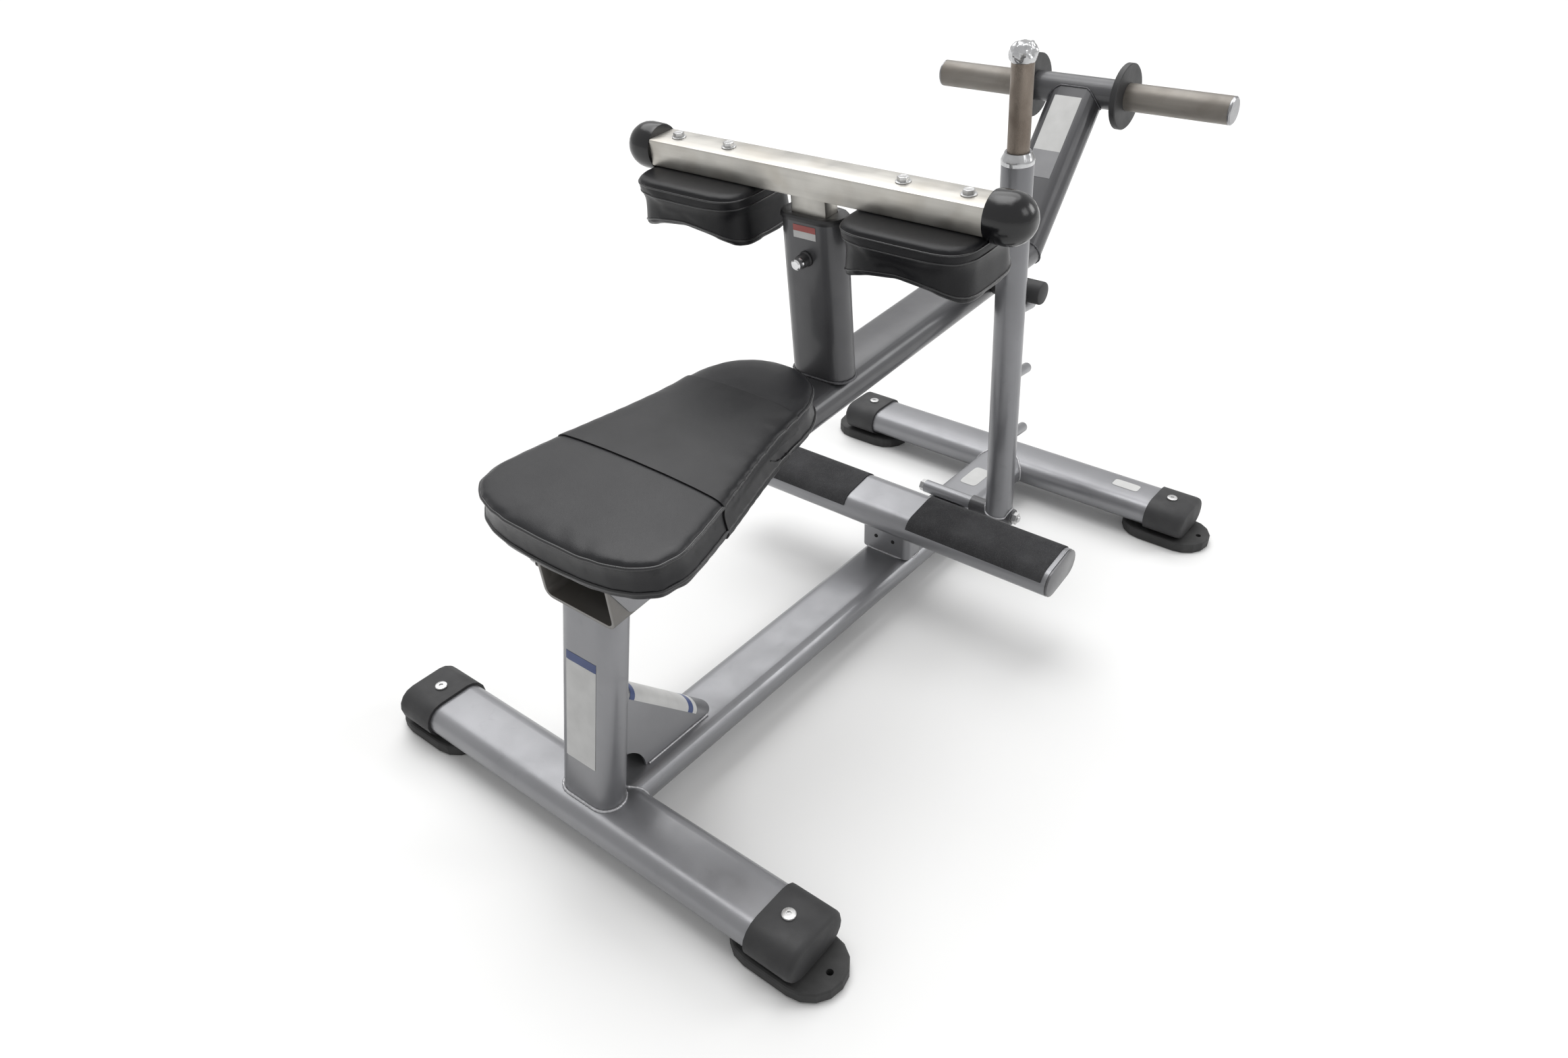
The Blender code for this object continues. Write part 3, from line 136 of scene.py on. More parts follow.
class Surface:
    """A material on Object coordinates while its nodes are being laid out."""

    def __init__(self, name: str) -> None:
        """Start a material with an empty shader."""
        self.material = bpy.data.materials.new(name)
        self.material.use_nodes = True
        self.tree = self.material.node_tree
        self.place = add_node(self.tree, "TexCoord", {}).outputs["Object"]
        self.normal: Socket | None = None

    def grain(self, scale: float, detail: float = 3.0, stretch: Color = (1, 1, 1),
              twist: float = 0.0) -> Socket:
        """Return cloudy noise.

        Args:
            scale: how many clouds fit a metre.
            detail: how many finer layers it has.
            stretch: factor along each axis, for brushed looks.
            twist: how far the clouds are bent.

        Returns:
            The noise's value socket.
        """
        place = add_node(self.tree, "Mapping", {"Vector": self.place, "Scale": stretch}).outputs["Vector"]
        values = {"Vector": place, "Scale": scale, "Detail": detail, "Distortion": twist}
        return add_node(self.tree, "TexNoise", values).outputs["Fac"]

    def cells(self, scale: float, edges: bool = False) -> Socket:
        """Return small cells, as in leather grain, grit or metal flake.

        Args:
            scale: how many cells fit a metre.
            edges: measure to the cell's edge and not to its middle.

        Returns:
            The distance socket.
        """
        return add_node(self.tree, "TexVoronoi", {"Vector": self.place, "Scale": scale},
                        feature="DISTANCE_TO_EDGE" if edges else "F1").outputs["Distance"]

    def span(self, source: Socket, low: float, high: float, start: float = 0.3,
             end: float = 0.7) -> Socket:
        """Carry a value from one range to another.

        Args:
            source: the value.
            low: result at the range's start.
            high: result at the range's end.
            start: where the range starts.
            end: where the range ends.

        Returns:
            The carried value.
        """
        return add_node(self.tree, "MapRange", {"Value": source, "From Min": start, "From Max": end,
                                                "To Min": low, "To Max": high}).outputs["Result"]

    def blend(self, share: Socket, first: Color | Socket, second: Color | Socket) -> Socket:
        """Mix two colours.

        Args:
            share: how much of the second colour shows.
            first: a colour or a colour socket.
            second: a colour or a colour socket.

        Returns:
            The mixed colour.
        """
        node = add_node(self.tree, "Mix", {}, data_type="RGBA")
        first_key, second_key = [key for key, socket in enumerate(node.inputs) if socket.type == "RGBA"]
        values = {"Factor": share}
        for key, value in ((first_key, first), (second_key, second)):
            values[key] = (*value, 1.0) if isinstance(value, tuple) else value
        feed(self.tree, node, values)
        return [socket for socket in node.outputs if socket.type == "RGBA"][0]

    def raise_by(self, height: Socket, strength: float, distance: float) -> None:
        """Add one layer of relief.

        Args:
            height: the relief.
            strength: how strongly it shows.
            distance: its depth in metres.
        """
        values = {"Strength": strength, "Distance": distance, "Height": height}
        if self.normal is not None:
            values["Normal"] = self.normal
        self.normal = add_node(self.tree, "Bump", values).outputs["Normal"]

    def close(self, color: Socket, roughness: Socket, metallic: float, **others: object) -> bpy.types.Material:
        """Join the parts to the shader.

        Args:
            color: the surface's colour.
            roughness: the surface's roughness.
            metallic: its share of metal.
            others: further shader inputs, with _ for each blank.

        Returns:
            The finished material.
        """
        values = {"Base Color": color, "Roughness": roughness, "Metallic": metallic}
        values.update({name.replace("_", " "): value for name, value in others.items()})
        if self.normal is not None:
            values["Normal"] = self.normal
        feed(self.tree, self.tree.nodes["Principled BSDF"], values)
        return self.material


@dataclass(frozen=True)
class Finish(ABC):
    """What every finish has: a name, the slot it belongs to and its main colour."""

    name: str
    slot: Slot
    color: Color

    @abstractmethod
    def material(self) -> bpy.types.Material:
        """Return the finish as a material."""

    def look(self) -> Look:
        """Return the finish as a material with its slot."""
        return Look(self.material(), self.slot)

    def shade(self, factor: float, lift: float = 0.0) -> Color:
        """Return the main colour made darker or brighter."""
        return tuple(min(1.0, part * factor + lift) for part in self.color)


@dataclass(frozen=True)
class Paint(Finish):
    """Sprayed metallic paint with fine flake and a slight orange peel."""

    metallic: float
    roughness: float
    flake: float = 0.18

    def material(self) -> bpy.types.Material:
        """Return the paint."""
        look = Surface(self.name)
        base = look.blend(look.span(look.grain(7.0, 4.0), 0.0, 1.0), self.color, self.shade(0.86))
        speck = look.blend(look.span(look.cells(2600.0), self.flake, 0.0, 0.0, 0.45), base, self.shade(1.7))
        scuff = look.span(look.grain(38.0, 6.0, twist=0.6), 0.0, 0.35, 0.62, 0.8)
        look.raise_by(look.grain(420.0, 2.0), 0.10, 0.0006)
        rough = look.span(look.grain(22.0, 5.0), self.roughness * 0.85, self.roughness * 1.2)
        return look.close(look.blend(scuff, speck, self.shade(0.7)), rough, self.metallic,
                          Coat_Weight=0.45, Coat_Roughness=0.17)


@dataclass(frozen=True)
class Weld(Finish):
    """Painted weld bead, rougher and brighter than the tube beside it."""

    def material(self) -> bpy.types.Material:
        """Return the bead's paint."""
        look = Surface(self.name)
        base = look.blend(look.span(look.grain(160.0, 4.0), 0.0, 1.0), self.color, self.shade(1.5))
        look.raise_by(look.grain(330.0, 3.0), 0.5, 0.0012)
        return look.close(base, look.span(look.grain(90.0), 0.28, 0.5), 0.6)


@dataclass(frozen=True)
class Rubber(Finish):
    """Moulded black rubber with a dusty, faintly mottled face."""

    roughness: float
    dust: float = 0.5

    def material(self) -> bpy.types.Material:
        """Return the rubber."""
        look = Surface(self.name)
        dust = look.span(look.grain(16.0, 5.0, twist=0.4), 0.0, self.dust)
        look.raise_by(look.grain(650.0, 3.0), 0.16, 0.0006)
        look.raise_by(look.grain(60.0, 3.0), 0.10, 0.0010)
        rough = look.span(look.grain(30.0, 4.0), self.roughness * 0.85, min(1.0, self.roughness * 1.15))
        return look.close(look.blend(dust, self.color, self.shade(1.9, 0.006)), rough, 0.0)


@dataclass(frozen=True)
class Vinyl(Finish):
    """Upholstery vinyl with a fine pebbled grain, painted shade in the grain's creases, and a soft shine."""

    roughness: float
    pebble: float = 0.22
    gloss: float = 0.32

    def material(self) -> bpy.types.Material:
        """Return the vinyl."""
        look = Surface(self.name)
        base = look.blend(look.span(look.grain(9.0, twist=0.3), 0.0, 1.0), self.color, self.shade(1.35))
        crease_relief_and_painted_shade = look.span(look.cells(900.0, True), 0.0, 1.0, 0.0, 0.25)
        look.raise_by(crease_relief_and_painted_shade, self.pebble, 0.00035)
        look.raise_by(look.grain(24.0), 0.10, 0.0016)
        rough = look.span(look.grain(14.0, 4.0), self.roughness * 0.85, self.roughness * 1.15)
        # Painted shade: the colour is darkened in the creases of the grain, where the relief sinks.
        return look.close(look.blend(crease_relief_and_painted_shade, self.shade(0.7), base), rough, 0.0, Sheen_Weight=0.03,
                          Specular_IOR_Level=self.gloss)


@dataclass(frozen=True)
class Grit(Finish):
    """Anti-slip sheet with a mineral grit face."""

    def material(self) -> bpy.types.Material:
        """Return the sheet."""
        look = Surface(self.name)
        pale = self.shade(2.6, 0.012)
        base = look.blend(look.span(look.grain(700.0, 2.0), 0.0, 0.6, 0.5, 0.75), self.color, pale)
        worn = look.blend(look.span(look.grain(11.0, 4.0), 0.0, 0.45, 0.45, 0.75), base, pale)
        look.raise_by(look.span(look.cells(1100.0), 1.0, 0.0, 0.0, 0.55), 0.75, 0.0011)
        return look.close(worn, look.span(look.grain(60.0), 0.82, 0.97), 0.0)


@dataclass(frozen=True)
class Steel(Finish):
    """Bare or plated steel, brushed along one axis, with stains where it is handled."""

    stain: Color
    roughness: float
    brush: Color = (1.0, 1.0, 1.0)
    stained: float = 0.6
    knurl: float = 0.0
    metal: float = 0.92

    def material(self) -> bpy.types.Material:
        """Return the steel."""
        look = Surface(self.name)
        if self.knurl > 0.0:
            look.raise_by(look.span(look.cells(620.0), 1.0, 0.0, 0.0, 0.5), self.knurl, 0.0006)
        streaks = look.grain(90.0, 5.0, self.brush)
        base = look.blend(look.span(streaks, 0.0, 0.8), self.color, self.shade(0.78))
        patches = look.span(look.grain(13.0, 6.0, twist=0.8), 0.0, self.stained, 0.45, 0.75)
        look.raise_by(streaks, 0.12, 0.0004)
        look.raise_by(look.grain(240.0), 0.06, 0.0005)
        rough = look.span(look.grain(26.0, 5.0), self.roughness * 0.75, self.roughness * 1.25)
        return look.close(look.blend(patches, base, self.stain), rough, self.metal)


@dataclass(frozen=True)
class Plywood(Finish):
    """Birch plywood, seen from below."""

    late: Color
    pore: Color

    def material(self) -> bpy.types.Material:
        """Return the plywood."""
        look = Surface(self.name)
        figure = look.grain(14.0, 5.0, (5.0, 0.6, 5.0), 0.8)
        base = look.blend(look.span(figure, 0.0, 1.0), self.color, self.late)
        pores = look.span(look.grain(240.0, 2.0, (3.0, 0.25, 3.0)), 0.0, 0.6, 0.55, 0.75)
        look.raise_by(figure, 0.15, 0.0006)
        return look.close(look.blend(pores, base, self.pore), look.span(figure, 0.55, 0.75), 0.0)


@dataclass(frozen=True)
class BlankLabel(Finish):
    """Plain printed film with nothing on it, slightly yellowed and scuffed."""

    def material(self) -> bpy.types.Material:
        """Return the film."""
        look = Surface(self.name)
        base = look.blend(look.span(look.grain(30.0, 5.0), 0.0, 0.7), self.color, self.shade(0.82))
        look.raise_by(look.grain(120.0), 0.12, 0.0005)
        return look.close(base, look.span(look.grain(45.0), 0.3, 0.5), 0.0)


class Finishes:
    """Every finish of the machine, made once and shared."""

    def __init__(self) -> None:
        """Make the finishes."""
        self.silver = Paint("silver_frame_paint", Slot.SILVER, (0.27, 0.272, 0.285), 0.60, 0.38).look()
        self.post = Paint("catch_post_paint", Slot.SILVER, (0.215, 0.217, 0.228), 0.60, 0.36).look()
        self.graphite = Paint("graphite_lever_paint", Slot.GRAPHITE, (0.078, 0.078, 0.083), 0.42, 0.45,
                              0.10).look()
        self.bracket = Paint("bracket_paint", Slot.SILVER, (0.170, 0.162, 0.152), 0.50, 0.32, 0.08).look()
        self.end_plate = Paint("end_plate_paint", Slot.SILVER, (0.120, 0.120, 0.126), 0.45, 0.42,
                               0.10).look()
        self.silver_weld = Weld("silver_weld", Slot.SILVER, (0.36, 0.36, 0.37)).look()
        self.graphite_weld = Weld("graphite_weld", Slot.GRAPHITE, (0.075, 0.075, 0.080)).look()
        self.rubber = Rubber("cap_rubber", Slot.RUBBER, (0.020, 0.020, 0.021), 0.62).look()
        self.stop = Rubber("plate_stop_rubber", Slot.RUBBER, (0.016, 0.016, 0.017), 0.48).look()
        self.pad_rubber = Rubber("floor_pad_rubber", Slot.RUBBER, (0.024, 0.024, 0.024), 0.72, 0.8).look()
        self.dome = Rubber("dome_rubber", Slot.RUBBER, (0.005, 0.005, 0.006), 0.17, 0.04).look()
        self.vinyl = Vinyl("seat_vinyl", Slot.VINYL, (0.010, 0.010, 0.012), 0.33, gloss=0.36).look()
        # Painted shade: the thigh pads get a darker copy of the seat's vinyl, to darken their shaded sides.
        self.shaded_pad_vinyl = Vinyl("thigh_pad_vinyl_painted_shade", Slot.VINYL, (0.007, 0.007, 0.0085), 0.34, gloss=0.24).look()
        self.cover = Vinyl("cover_vinyl", Slot.VINYL, (0.0125, 0.0125, 0.014), 0.38, 0.12).look()
        self.piping = Vinyl("piping_vinyl", Slot.VINYL, (0.011, 0.011, 0.0125), 0.24, 0.10, 0.6).look()
        self.grip = Grit("grip_grit", Slot.GRIP, (0.028, 0.028, 0.030)).look()
        self.bar = Steel("bar_steel", Slot.STEEL, (0.56, 0.545, 0.51), (0.40, 0.36, 0.30), 0.42,
                         (0.04, 1.0, 1.0), 0.45).look()
        self.sleeve = Steel("sleeve_steel", Slot.STEEL, (0.25, 0.232, 0.208), (0.13, 0.11, 0.09), 0.45,
                            (0.05, 1.0, 1.0), metal=0.40).look()
        self.handle = Steel("handle_steel", Slot.STEEL, (0.25, 0.212, 0.178), (0.12, 0.092, 0.072), 0.46,
                            (1.0, 1.0, 0.08), 0.8, 0.5, 0.7).look()
        self.bright = Steel("bright_steel_look", Slot.BRIGHT, (0.78, 0.78, 0.79), (0.6, 0.6, 0.6), 0.18,
                            stained=0.2).look()
        self.plug = Steel("plug_steel", Slot.BRIGHT, (0.34, 0.34, 0.35), (0.20, 0.20, 0.20), 0.24,
                          stained=0.5).look()
        self.zinc = Steel("zinc_look", Slot.ZINC, (0.62, 0.62, 0.62), (0.42, 0.42, 0.41), 0.30,
                          stained=0.5).look()
        self.foil = Steel("crumpled_foil", Slot.ZINC, (0.56, 0.565, 0.575), (0.34, 0.34, 0.33), 0.24,
                          stained=0.35).look()
        self.plastic = Rubber("collar_plastic", Slot.PLASTIC, (0.016, 0.016, 0.017), 0.40, 0.3).look()
        # Painted shade: a near-black finish for the thin discs that stand for the shade inside the stub's
        # holes.
        self.painted_hole_shade = Rubber("painted_hole_shade_look", Slot.PLASTIC, (0.006, 0.006, 0.006), 0.85, 0.2).look()
        self.wood = Plywood("plywood_look", Slot.WOOD, (0.50, 0.35, 0.20), (0.36, 0.23, 0.12),
                            (0.22, 0.13, 0.07)).look()
        self.label = BlankLabel("blank_label", Slot.SILVER, (0.66, 0.66, 0.65)).look()
        self.label_edge = BlankLabel("blank_label_band", Slot.SILVER, (0.055, 0.085, 0.22)).look()
        self.clear_film = BlankLabel("clear_film", Slot.GRAPHITE, (0.30, 0.30, 0.31)).look()
        self.red_film = BlankLabel("red_label_band", Slot.GRAPHITE, (0.42, 0.10, 0.09)).look()


@dataclass(frozen=True)
class Axis:
    """A straight line in a plane square to X, by a place on it and its pitch in degrees."""

    y: float
    z: float
    pitch: float

    def at(self, along: float, off: float = 0.0, x: float = 0.0) -> Vector:
        """Return the place at a distance along the line and off it, to its left.

        Args:
            along: distance along the line.
            off: distance square to it.
            x: place across the machine.

        Returns:
            The place, in metres.
        """
        cos = math.cos(math.radians(self.pitch))
        sin = math.sin(math.radians(self.pitch))
        return Vector((x, self.y + along * cos - off * sin, self.z + along * sin + off * cos))

    def ahead(self) -> Vector:
        """Return the line's direction."""
        return (self.at(1.0) - self.at(0.0)).normalized()

    def aside(self, off: float = 1.0) -> Vector:
        """Return the direction square to the line, to its left or, for a negative off, to its right."""
        return (self.at(0.0, off) - self.at(0.0)).normalized()


# Places along the machine are counted from the front foot's middle, and SHIFT takes them to the record's frame.
SHIFT = -0.6593574
SEAT_GAP = 0.0003
TUBE_TOP = 0.0759
FOOT_Z = 0.0505
FOOT_GAP = 1.193
TUBE_W = 0.1016
TUBE_H = 0.0508
POST_LEAN = 9.7
SEAT = Axis(-0.0165 + SHIFT, 0.475, 5.1)
SEAT_POST = Axis(SHIFT, TUBE_TOP, 90 - POST_LEAN)
BEAM = Axis(0.060 + SHIFT, 0.4486, 4.2)
KNEE_AT = 1.0655
KNEE = BEAM.at(KNEE_AT)
ARM = Axis(KNEE.y, KNEE.z, 50.8)
POST_AT = 0.487
POST = Axis(BEAM.at(POST_AT).y, BEAM.at(POST_AT).z, 95.0)
CATCH = Axis(0.943 + SHIFT, 0.0887, 94.6)
CATCH_X = 0.110
PIN_FACE = 0.0257
PIN_SHARE = 0.66
SIDES = (("left", -1), ("right", 1))
# Share by which most weld beads swell and shrink.
RIPPLE = 0.16


def ease(value: float, start: float, end: float) -> float:
    """Return 0 before start, 1 after end, and a smooth rise between them."""
    share = min(max((value - start) / (end - start), 0.0), 1.0)
    return share * share * (3.0 - 2.0 * share)


def rounded(share: float, power: float) -> float:
    """Return how wide a round end is at a share of its length, from 0 at its tip to 1."""
    return max(0.0, 1 - (1 - share) ** power) ** (1 / power)


def placed(place: Vector | Color, *turns: tuple[str, float]) -> Matrix:
    """Return the frame at a place, turned about one axis after the other.

    Args:
        place: where it stands.
        turns: axis and degrees of each turn.

    Returns:
        The frame.
    """
    frame = Matrix.Translation(place)
    for axis, degrees in turns:
        frame = frame @ Matrix.Rotation(math.radians(degrees), 4, axis)
    return frame


def oval(width: float, height: float, steps: int = 10) -> list[tuple[float, float]]:
    """Return the points of a flat oval.

    Args:
        width: overall width.
        height: overall height, and twice the end radius.
        steps: steps in each round end.

    Returns:
        Points in order.
    """
    radius = height / 2
    flat = width / 2 - radius
    points = []
    for side, start in ((1, -90.0), (-1, 90.0)):
        for step in range(steps + 1):
            angle = math.radians(start + 180.0 * step / steps)
            points.append((side * flat + radius * math.cos(angle), radius * math.sin(angle)))
    return points


@dataclass
class Assembly:
    """What every sub-assembly shares: modelling moves and how a piece is handed over."""

    looks: Finishes
    nodes: dict[str, Piece]
    body: str = "frame"
    made: dict[str, Piece] = field(default_factory=dict)
    film: float = 0.0002
    film_lift: float = 0.00035
    film_border: float = 0.0010
    label_reach: float = 0.05
    # Facets that meet at less than this angle, in degrees, are one face in a finished copy.
    facet_angle: float = 0.8
    bevel_margin: float = 12.0

    @staticmethod
    def take(piece: Piece | None = None) -> None:
        """Leave edit mode, with one object or none active and selected."""
        if bpy.context.object is not None and bpy.context.object.mode != "OBJECT":
            bpy.ops.object.mode_set(mode="OBJECT")
        bpy.ops.object.select_all(action="DESELECT")
        if piece is not None:
            piece.select_set(True)
            bpy.context.view_layer.objects.active = piece

    def edit(self, piece: Piece) -> None:
        """Go into edit mode on a piece, with all of it selected."""
        self.take(piece)
        bpy.ops.object.mode_set(mode="EDIT")
        bpy.ops.mesh.select_all(action="SELECT")

    @staticmethod
    def pick(piece: Piece, test: Callable[[Face], bool]) -> None:
        """Select the faces that pass a test, in edit mode's face select.

        Args:
            piece: the active piece.
            test: says of a face whether it is wanted.
        """
        bpy.ops.object.mode_set(mode="EDIT")
        bpy.ops.mesh.select_mode(type="FACE")
        bpy.ops.mesh.select_all(action="DESELECT")
        mesh = bmesh.from_edit_mesh(piece.data)
        mesh.normal_update()
        for face in mesh.faces:
            if test(face):
                face.select = True
        mesh.select_flush_mode()
        bmesh.update_edit_mesh(piece.data)

    def pick_top(self, piece: Piece, level: float) -> None:
        """Select the faces that lie at a level."""
        self.pick(piece, lambda face: all(abs(vert.co.z - level) < 1e-6 for vert in face.verts))

    def drop(self, piece: Piece, test: Callable[[Face], bool]) -> None:
        """Delete the faces that pass a test, and leave edit mode."""
        self.pick(piece, test)
        bpy.ops.mesh.delete(type="FACE")
        bpy.ops.object.mode_set(mode="OBJECT")

    @staticmethod
    def trim(place: Vector | Color, normal: Vector | Color, keep_far: bool, fill: bool = False) -> None:
        """Cut the piece in edit mode by a plane and keep one side.

        Args:
            place: a place on the plane.
            normal: the plane's normal.
            keep_far: keep what lies on the normal's side, and not what lies behind it.
            fill: close the cut.
        """
        bpy.ops.mesh.select_all(action="SELECT")
        bpy.ops.mesh.bisect(plane_co=place, plane_no=normal, use_fill=fill, clear_inner=keep_far,
                            clear_outer=not keep_far)

    @staticmethod
    def modify(piece: Piece, kind: str, **settings: object) -> None:
        """Apply one modifier to the active piece.

        Args:
            piece: the piece.
            kind: the modifier's type.
            settings: the modifier's own settings.
        """
        added = piece.modifiers.new(kind, kind)
        for name, value in settings.items():
            setattr(added, name, value)
        bpy.ops.object.modifier_apply(modifier=added.name)

    def thicken(self, piece: Piece, lift: float, thickness: float) -> None:
        """Lift an open sheet off what it lies on and give it a thickness outwards."""
        self.modify(piece, "DISPLACE", strength=lift, mid_level=0.0)
        self.modify(piece, "SOLIDIFY", thickness=thickness, offset=1.0)

    @staticmethod
    def twin(piece: Piece) -> Piece:
        """Return a copy of a piece, with a mesh of its own."""
        copy = piece.copy()
        copy.data = piece.data.copy()
        bpy.context.scene.collection.objects.link(copy)
        return copy

    def dress(self, node: str, look: Look) -> None:
        """Give a carried-over solid its finish."""
        mesh = self.nodes[node].data
        mesh.materials.clear()
        mesh.materials.append(look.material)
        for polygon in mesh.polygons:
            polygon.material_index = 0
        LOG.info("dressed %s", node)

    def copy_solid(self, node: str) -> Piece:
        """Return a free copy of a solid, active and with its loose triangles merged."""
        mesh = self.nodes[node].data.copy()
        piece = bpy.data.objects.new(node + "_copy", mesh)
        bpy.context.scene.collection.objects.link(piece)
        self.edit(piece)
        bpy.ops.mesh.remove_doubles(threshold=0.00001)
        bpy.ops.object.mode_set(mode="OBJECT")
        if mesh.has_custom_normals:
            bpy.ops.mesh.customdata_custom_splitnormals_clear()
        return piece

    def refine(self, node: str, look: Look, edge: float = 0.0, angle: float = 33.0, body: str = "",
               slot: Slot | None = None) -> None:
        """Stand a smooth copy in for a solid, with its facets merged and its edges softened.

        Args:
            node: the solid's name.
            look: its finish.
            edge: width of the softened edges, or 0 to leave them.
            angle: edges sharper than this, in degrees, stay sharp.
            body: the body it moves with, if it isn't the assembly's own.
            slot: its slot, if it isn't the finish's own.
        """
        piece = self.copy_solid(node)
        self.edit(piece)
        bpy.ops.mesh.dissolve_limited(angle_limit=math.radians(self.facet_angle))
        bpy.ops.object.mode_set(mode="OBJECT")
        if edge > 0.0:
            self.modify(piece, "BEVEL", width=edge, segments=2, limit_method="ANGLE",
                        angle_limit=math.radians(angle + self.bevel_margin))
        self.hand_over(piece, f"{node}_finished", look, angle, body, slot)
        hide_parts(node)
        self.made[node] = piece

    def redraw(self, node: str, along: Vector, start: float, factor: float, shift: float) -> None:
        """Shorten or lengthen the end of a finished copy on the thigh post.

        Args:
            node: the solid that the copy stands for.
            along: direction of the change, counted from the post's foot.
            start: distance beyond which the copy changes.
            factor: what lengths beyond it are multiplied by.
            shift: how far its end moves as a whole.
        """
        mesh = self.made[node].data
        for vert in mesh.vertices:
            beyond = (vert.co - POST.at(0.0)).dot(along) - start
            if beyond > 0.0:
                vert.co += along * (beyond * (factor - 1.0) + shift)
        mesh.update()

    def hand_over(self, piece: Piece, name: str, look: Look, angle: float = 35.0, body: str = "",
                  slot: Slot | None = None) -> None:
        """Name a finished piece, apply its place, and let it ride on its body.

        Args:
            piece: the piece.
            name: its name.
            look: its finish.
            angle: edges sharper than this, in degrees, stay sharp.
            body: the body it moves with, if it isn't the assembly's own.
            slot: not used.
        """
        self.take(piece)
        bpy.ops.object.transform_apply(location=True, rotation=True, scale=True)
        bpy.ops.object.shade_smooth_by_angle(angle=math.radians(angle))
        piece.name = name
        piece.data.name = name
        piece.data.materials.clear()
        piece.data.materials.append(look.material)
        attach(piece, body or self.body)
        LOG.info("built %s", name)

    def cylinder(self, radius: float, depth: float, sides: int = 32) -> Piece:
        """Add a cylinder standing on the origin.

        Args:
            radius: its radius.
            depth: its height.
            sides: how many sides it has.

        Returns:
            The cylinder.
        """
        self.take()
        bpy.ops.mesh.primitive_cylinder_add(vertices=sides, radius=radius, depth=depth,
                                            location=(0, 0, depth / 2))
        bpy.ops.object.transform_apply(location=True)
        return bpy.context.object

    def socket_screw(self, radius: float, height: float, socket: float) -> Piece:
        """Model a button head with a round socket.

        Args:
            radius: head radius.
            height: head height.
            socket: socket radius.

        Returns:
            The head, standing on the origin.
        """
        piece = self.cylinder(radius, height)
        crown = height * 0.55
        self.pick_top(piece, height)
        bpy.ops.mesh.bevel(offset=crown, segments=4, affect="EDGES")
        self.pick_top(piece, height)
        bpy.ops.mesh.inset(thickness=radius - crown - socket)
        bpy.ops.mesh.inset(thickness=socket * 0.12, depth=-crown)
        bpy.ops.object.mode_set(mode="OBJECT")
        return piece

    def hex_head(self, radius: float, height: float, washer: float) -> Piece:
        """Model a hexagon head with chamfered corners on a washer.

        Args:
            radius: corner radius of the head.
            height: height of the head.
            washer: radius of the washer.

        Returns:
            The bolt head, standing on the origin.
        """
        seat, lift = 0.0014, 0.0015
        plate = self.cylinder(washer, seat)
        self.pick_top(plate, seat)
        bpy.ops.mesh.bevel(offset=0.0003, segments=2, affect="EDGES")
        head = self.cylinder(radius, height, 6)
        self.edit(head)
        bpy.ops.transform.translate(value=(0, 0, lift))
        self.pick_top(head, height + lift)
        bpy.ops.mesh.bevel(offset=height * 0.16, segments=3, affect="EDGES")
        self.pick_top(head, height + lift)
        bpy.ops.mesh.inset(thickness=radius * 0.18, depth=-height * 0.05)
        self.take(head)
        plate.select_set(True)
        bpy.ops.object.join()
        return bpy.context.object

    def copies(self, master: Piece, places: dict[str, Matrix], look: Look) -> None:
        """Place copies of one piece, each with its own mesh, and drop the master.

        Args:
            master: the modelled piece.
            places: name and frame of each copy.
            look: their finish.
        """
        for name, place in places.items():
            piece = self.twin(master)
            piece.matrix_world = place
            self.hand_over(piece, name, look)
        bpy.data.objects.remove(master, do_unlink=True)

    def bead(self, name: str, points: list[Vector], radius: float, look: Look, closed: bool = True,
             ripple: float = 0.0) -> None:
        """Lay a round bead along points, rippled where it is a weld.

        Args:
            name: piece name.
            points: places along it.
            radius: its radius.
            look: its finish.
            closed: whether it runs round to its start.
            ripple: share by which its radius swells and shrinks.
        """
        self.take()
        bpy.ops.curve.primitive_nurbs_path_add()
        piece = bpy.context.object
        curve = piece.data
        curve.splines.clear()
        dense = []
        for start, end in zip(points, points[1:] + points[:1] if closed else points[1:]):
            steps = max(1, round((end - start).length / (radius * 0.7))) if ripple else 1
            dense += [start.lerp(end, step / steps) for step in range(steps)]
        if not closed:
            dense.append(points[-1])
        spline = curve.splines.new("POLY")
        spline.points.add(len(dense) - 1)
        for index, (point, place) in enumerate(zip(spline.points, dense)):
            point.co = (*place, 1.0)
            point.radius = 1.0 + ripple * (math.sin(index * 1.9) * 0.6 + noise.noise(place * 260.0))
        spline.use_cyclic_u = closed
        curve.dimensions = "3D"
        curve.bevel_depth = radius
        curve.bevel_resolution = 3
        curve.use_fill_caps = not closed
        self.take(piece)
        bpy.ops.object.convert(target="MESH")
        self.hand_over(bpy.context.object, name, look, 60.0)

    def sticker(self, name: str, node: str, frame: Matrix, size: tuple[float, float], look: Look,
                slot: Slot) -> None:
        """Press a thin blank film onto a solid.

        Args:
            name: piece name.
            node: the solid it is pressed on.
            frame: frame whose X and Y span the film and whose Z points away from the solid.
            size: width and height.
            look: its finish.
            slot: its slot.
        """
        self.take()
        bpy.ops.mesh.primitive_grid_add(x_subdivisions=16, y_subdivisions=16, size=1.0)
        piece = bpy.context.object
        piece.scale = (*size, 1.0)
        bpy.ops.object.transform_apply(scale=True)
        piece.matrix_world = frame
        self.modify(piece, "SHRINKWRAP", wrap_method="PROJECT", use_project_z=True,
                    use_negative_direction=True, use_positive_direction=True,
                    project_limit=self.label_reach, offset=self.film_lift, target=self.made[node])
        self.modify(piece, "SOLIDIFY", thickness=self.film, offset=0.0)
        self.hand_over(piece, name, look, 60.0, slot=slot)

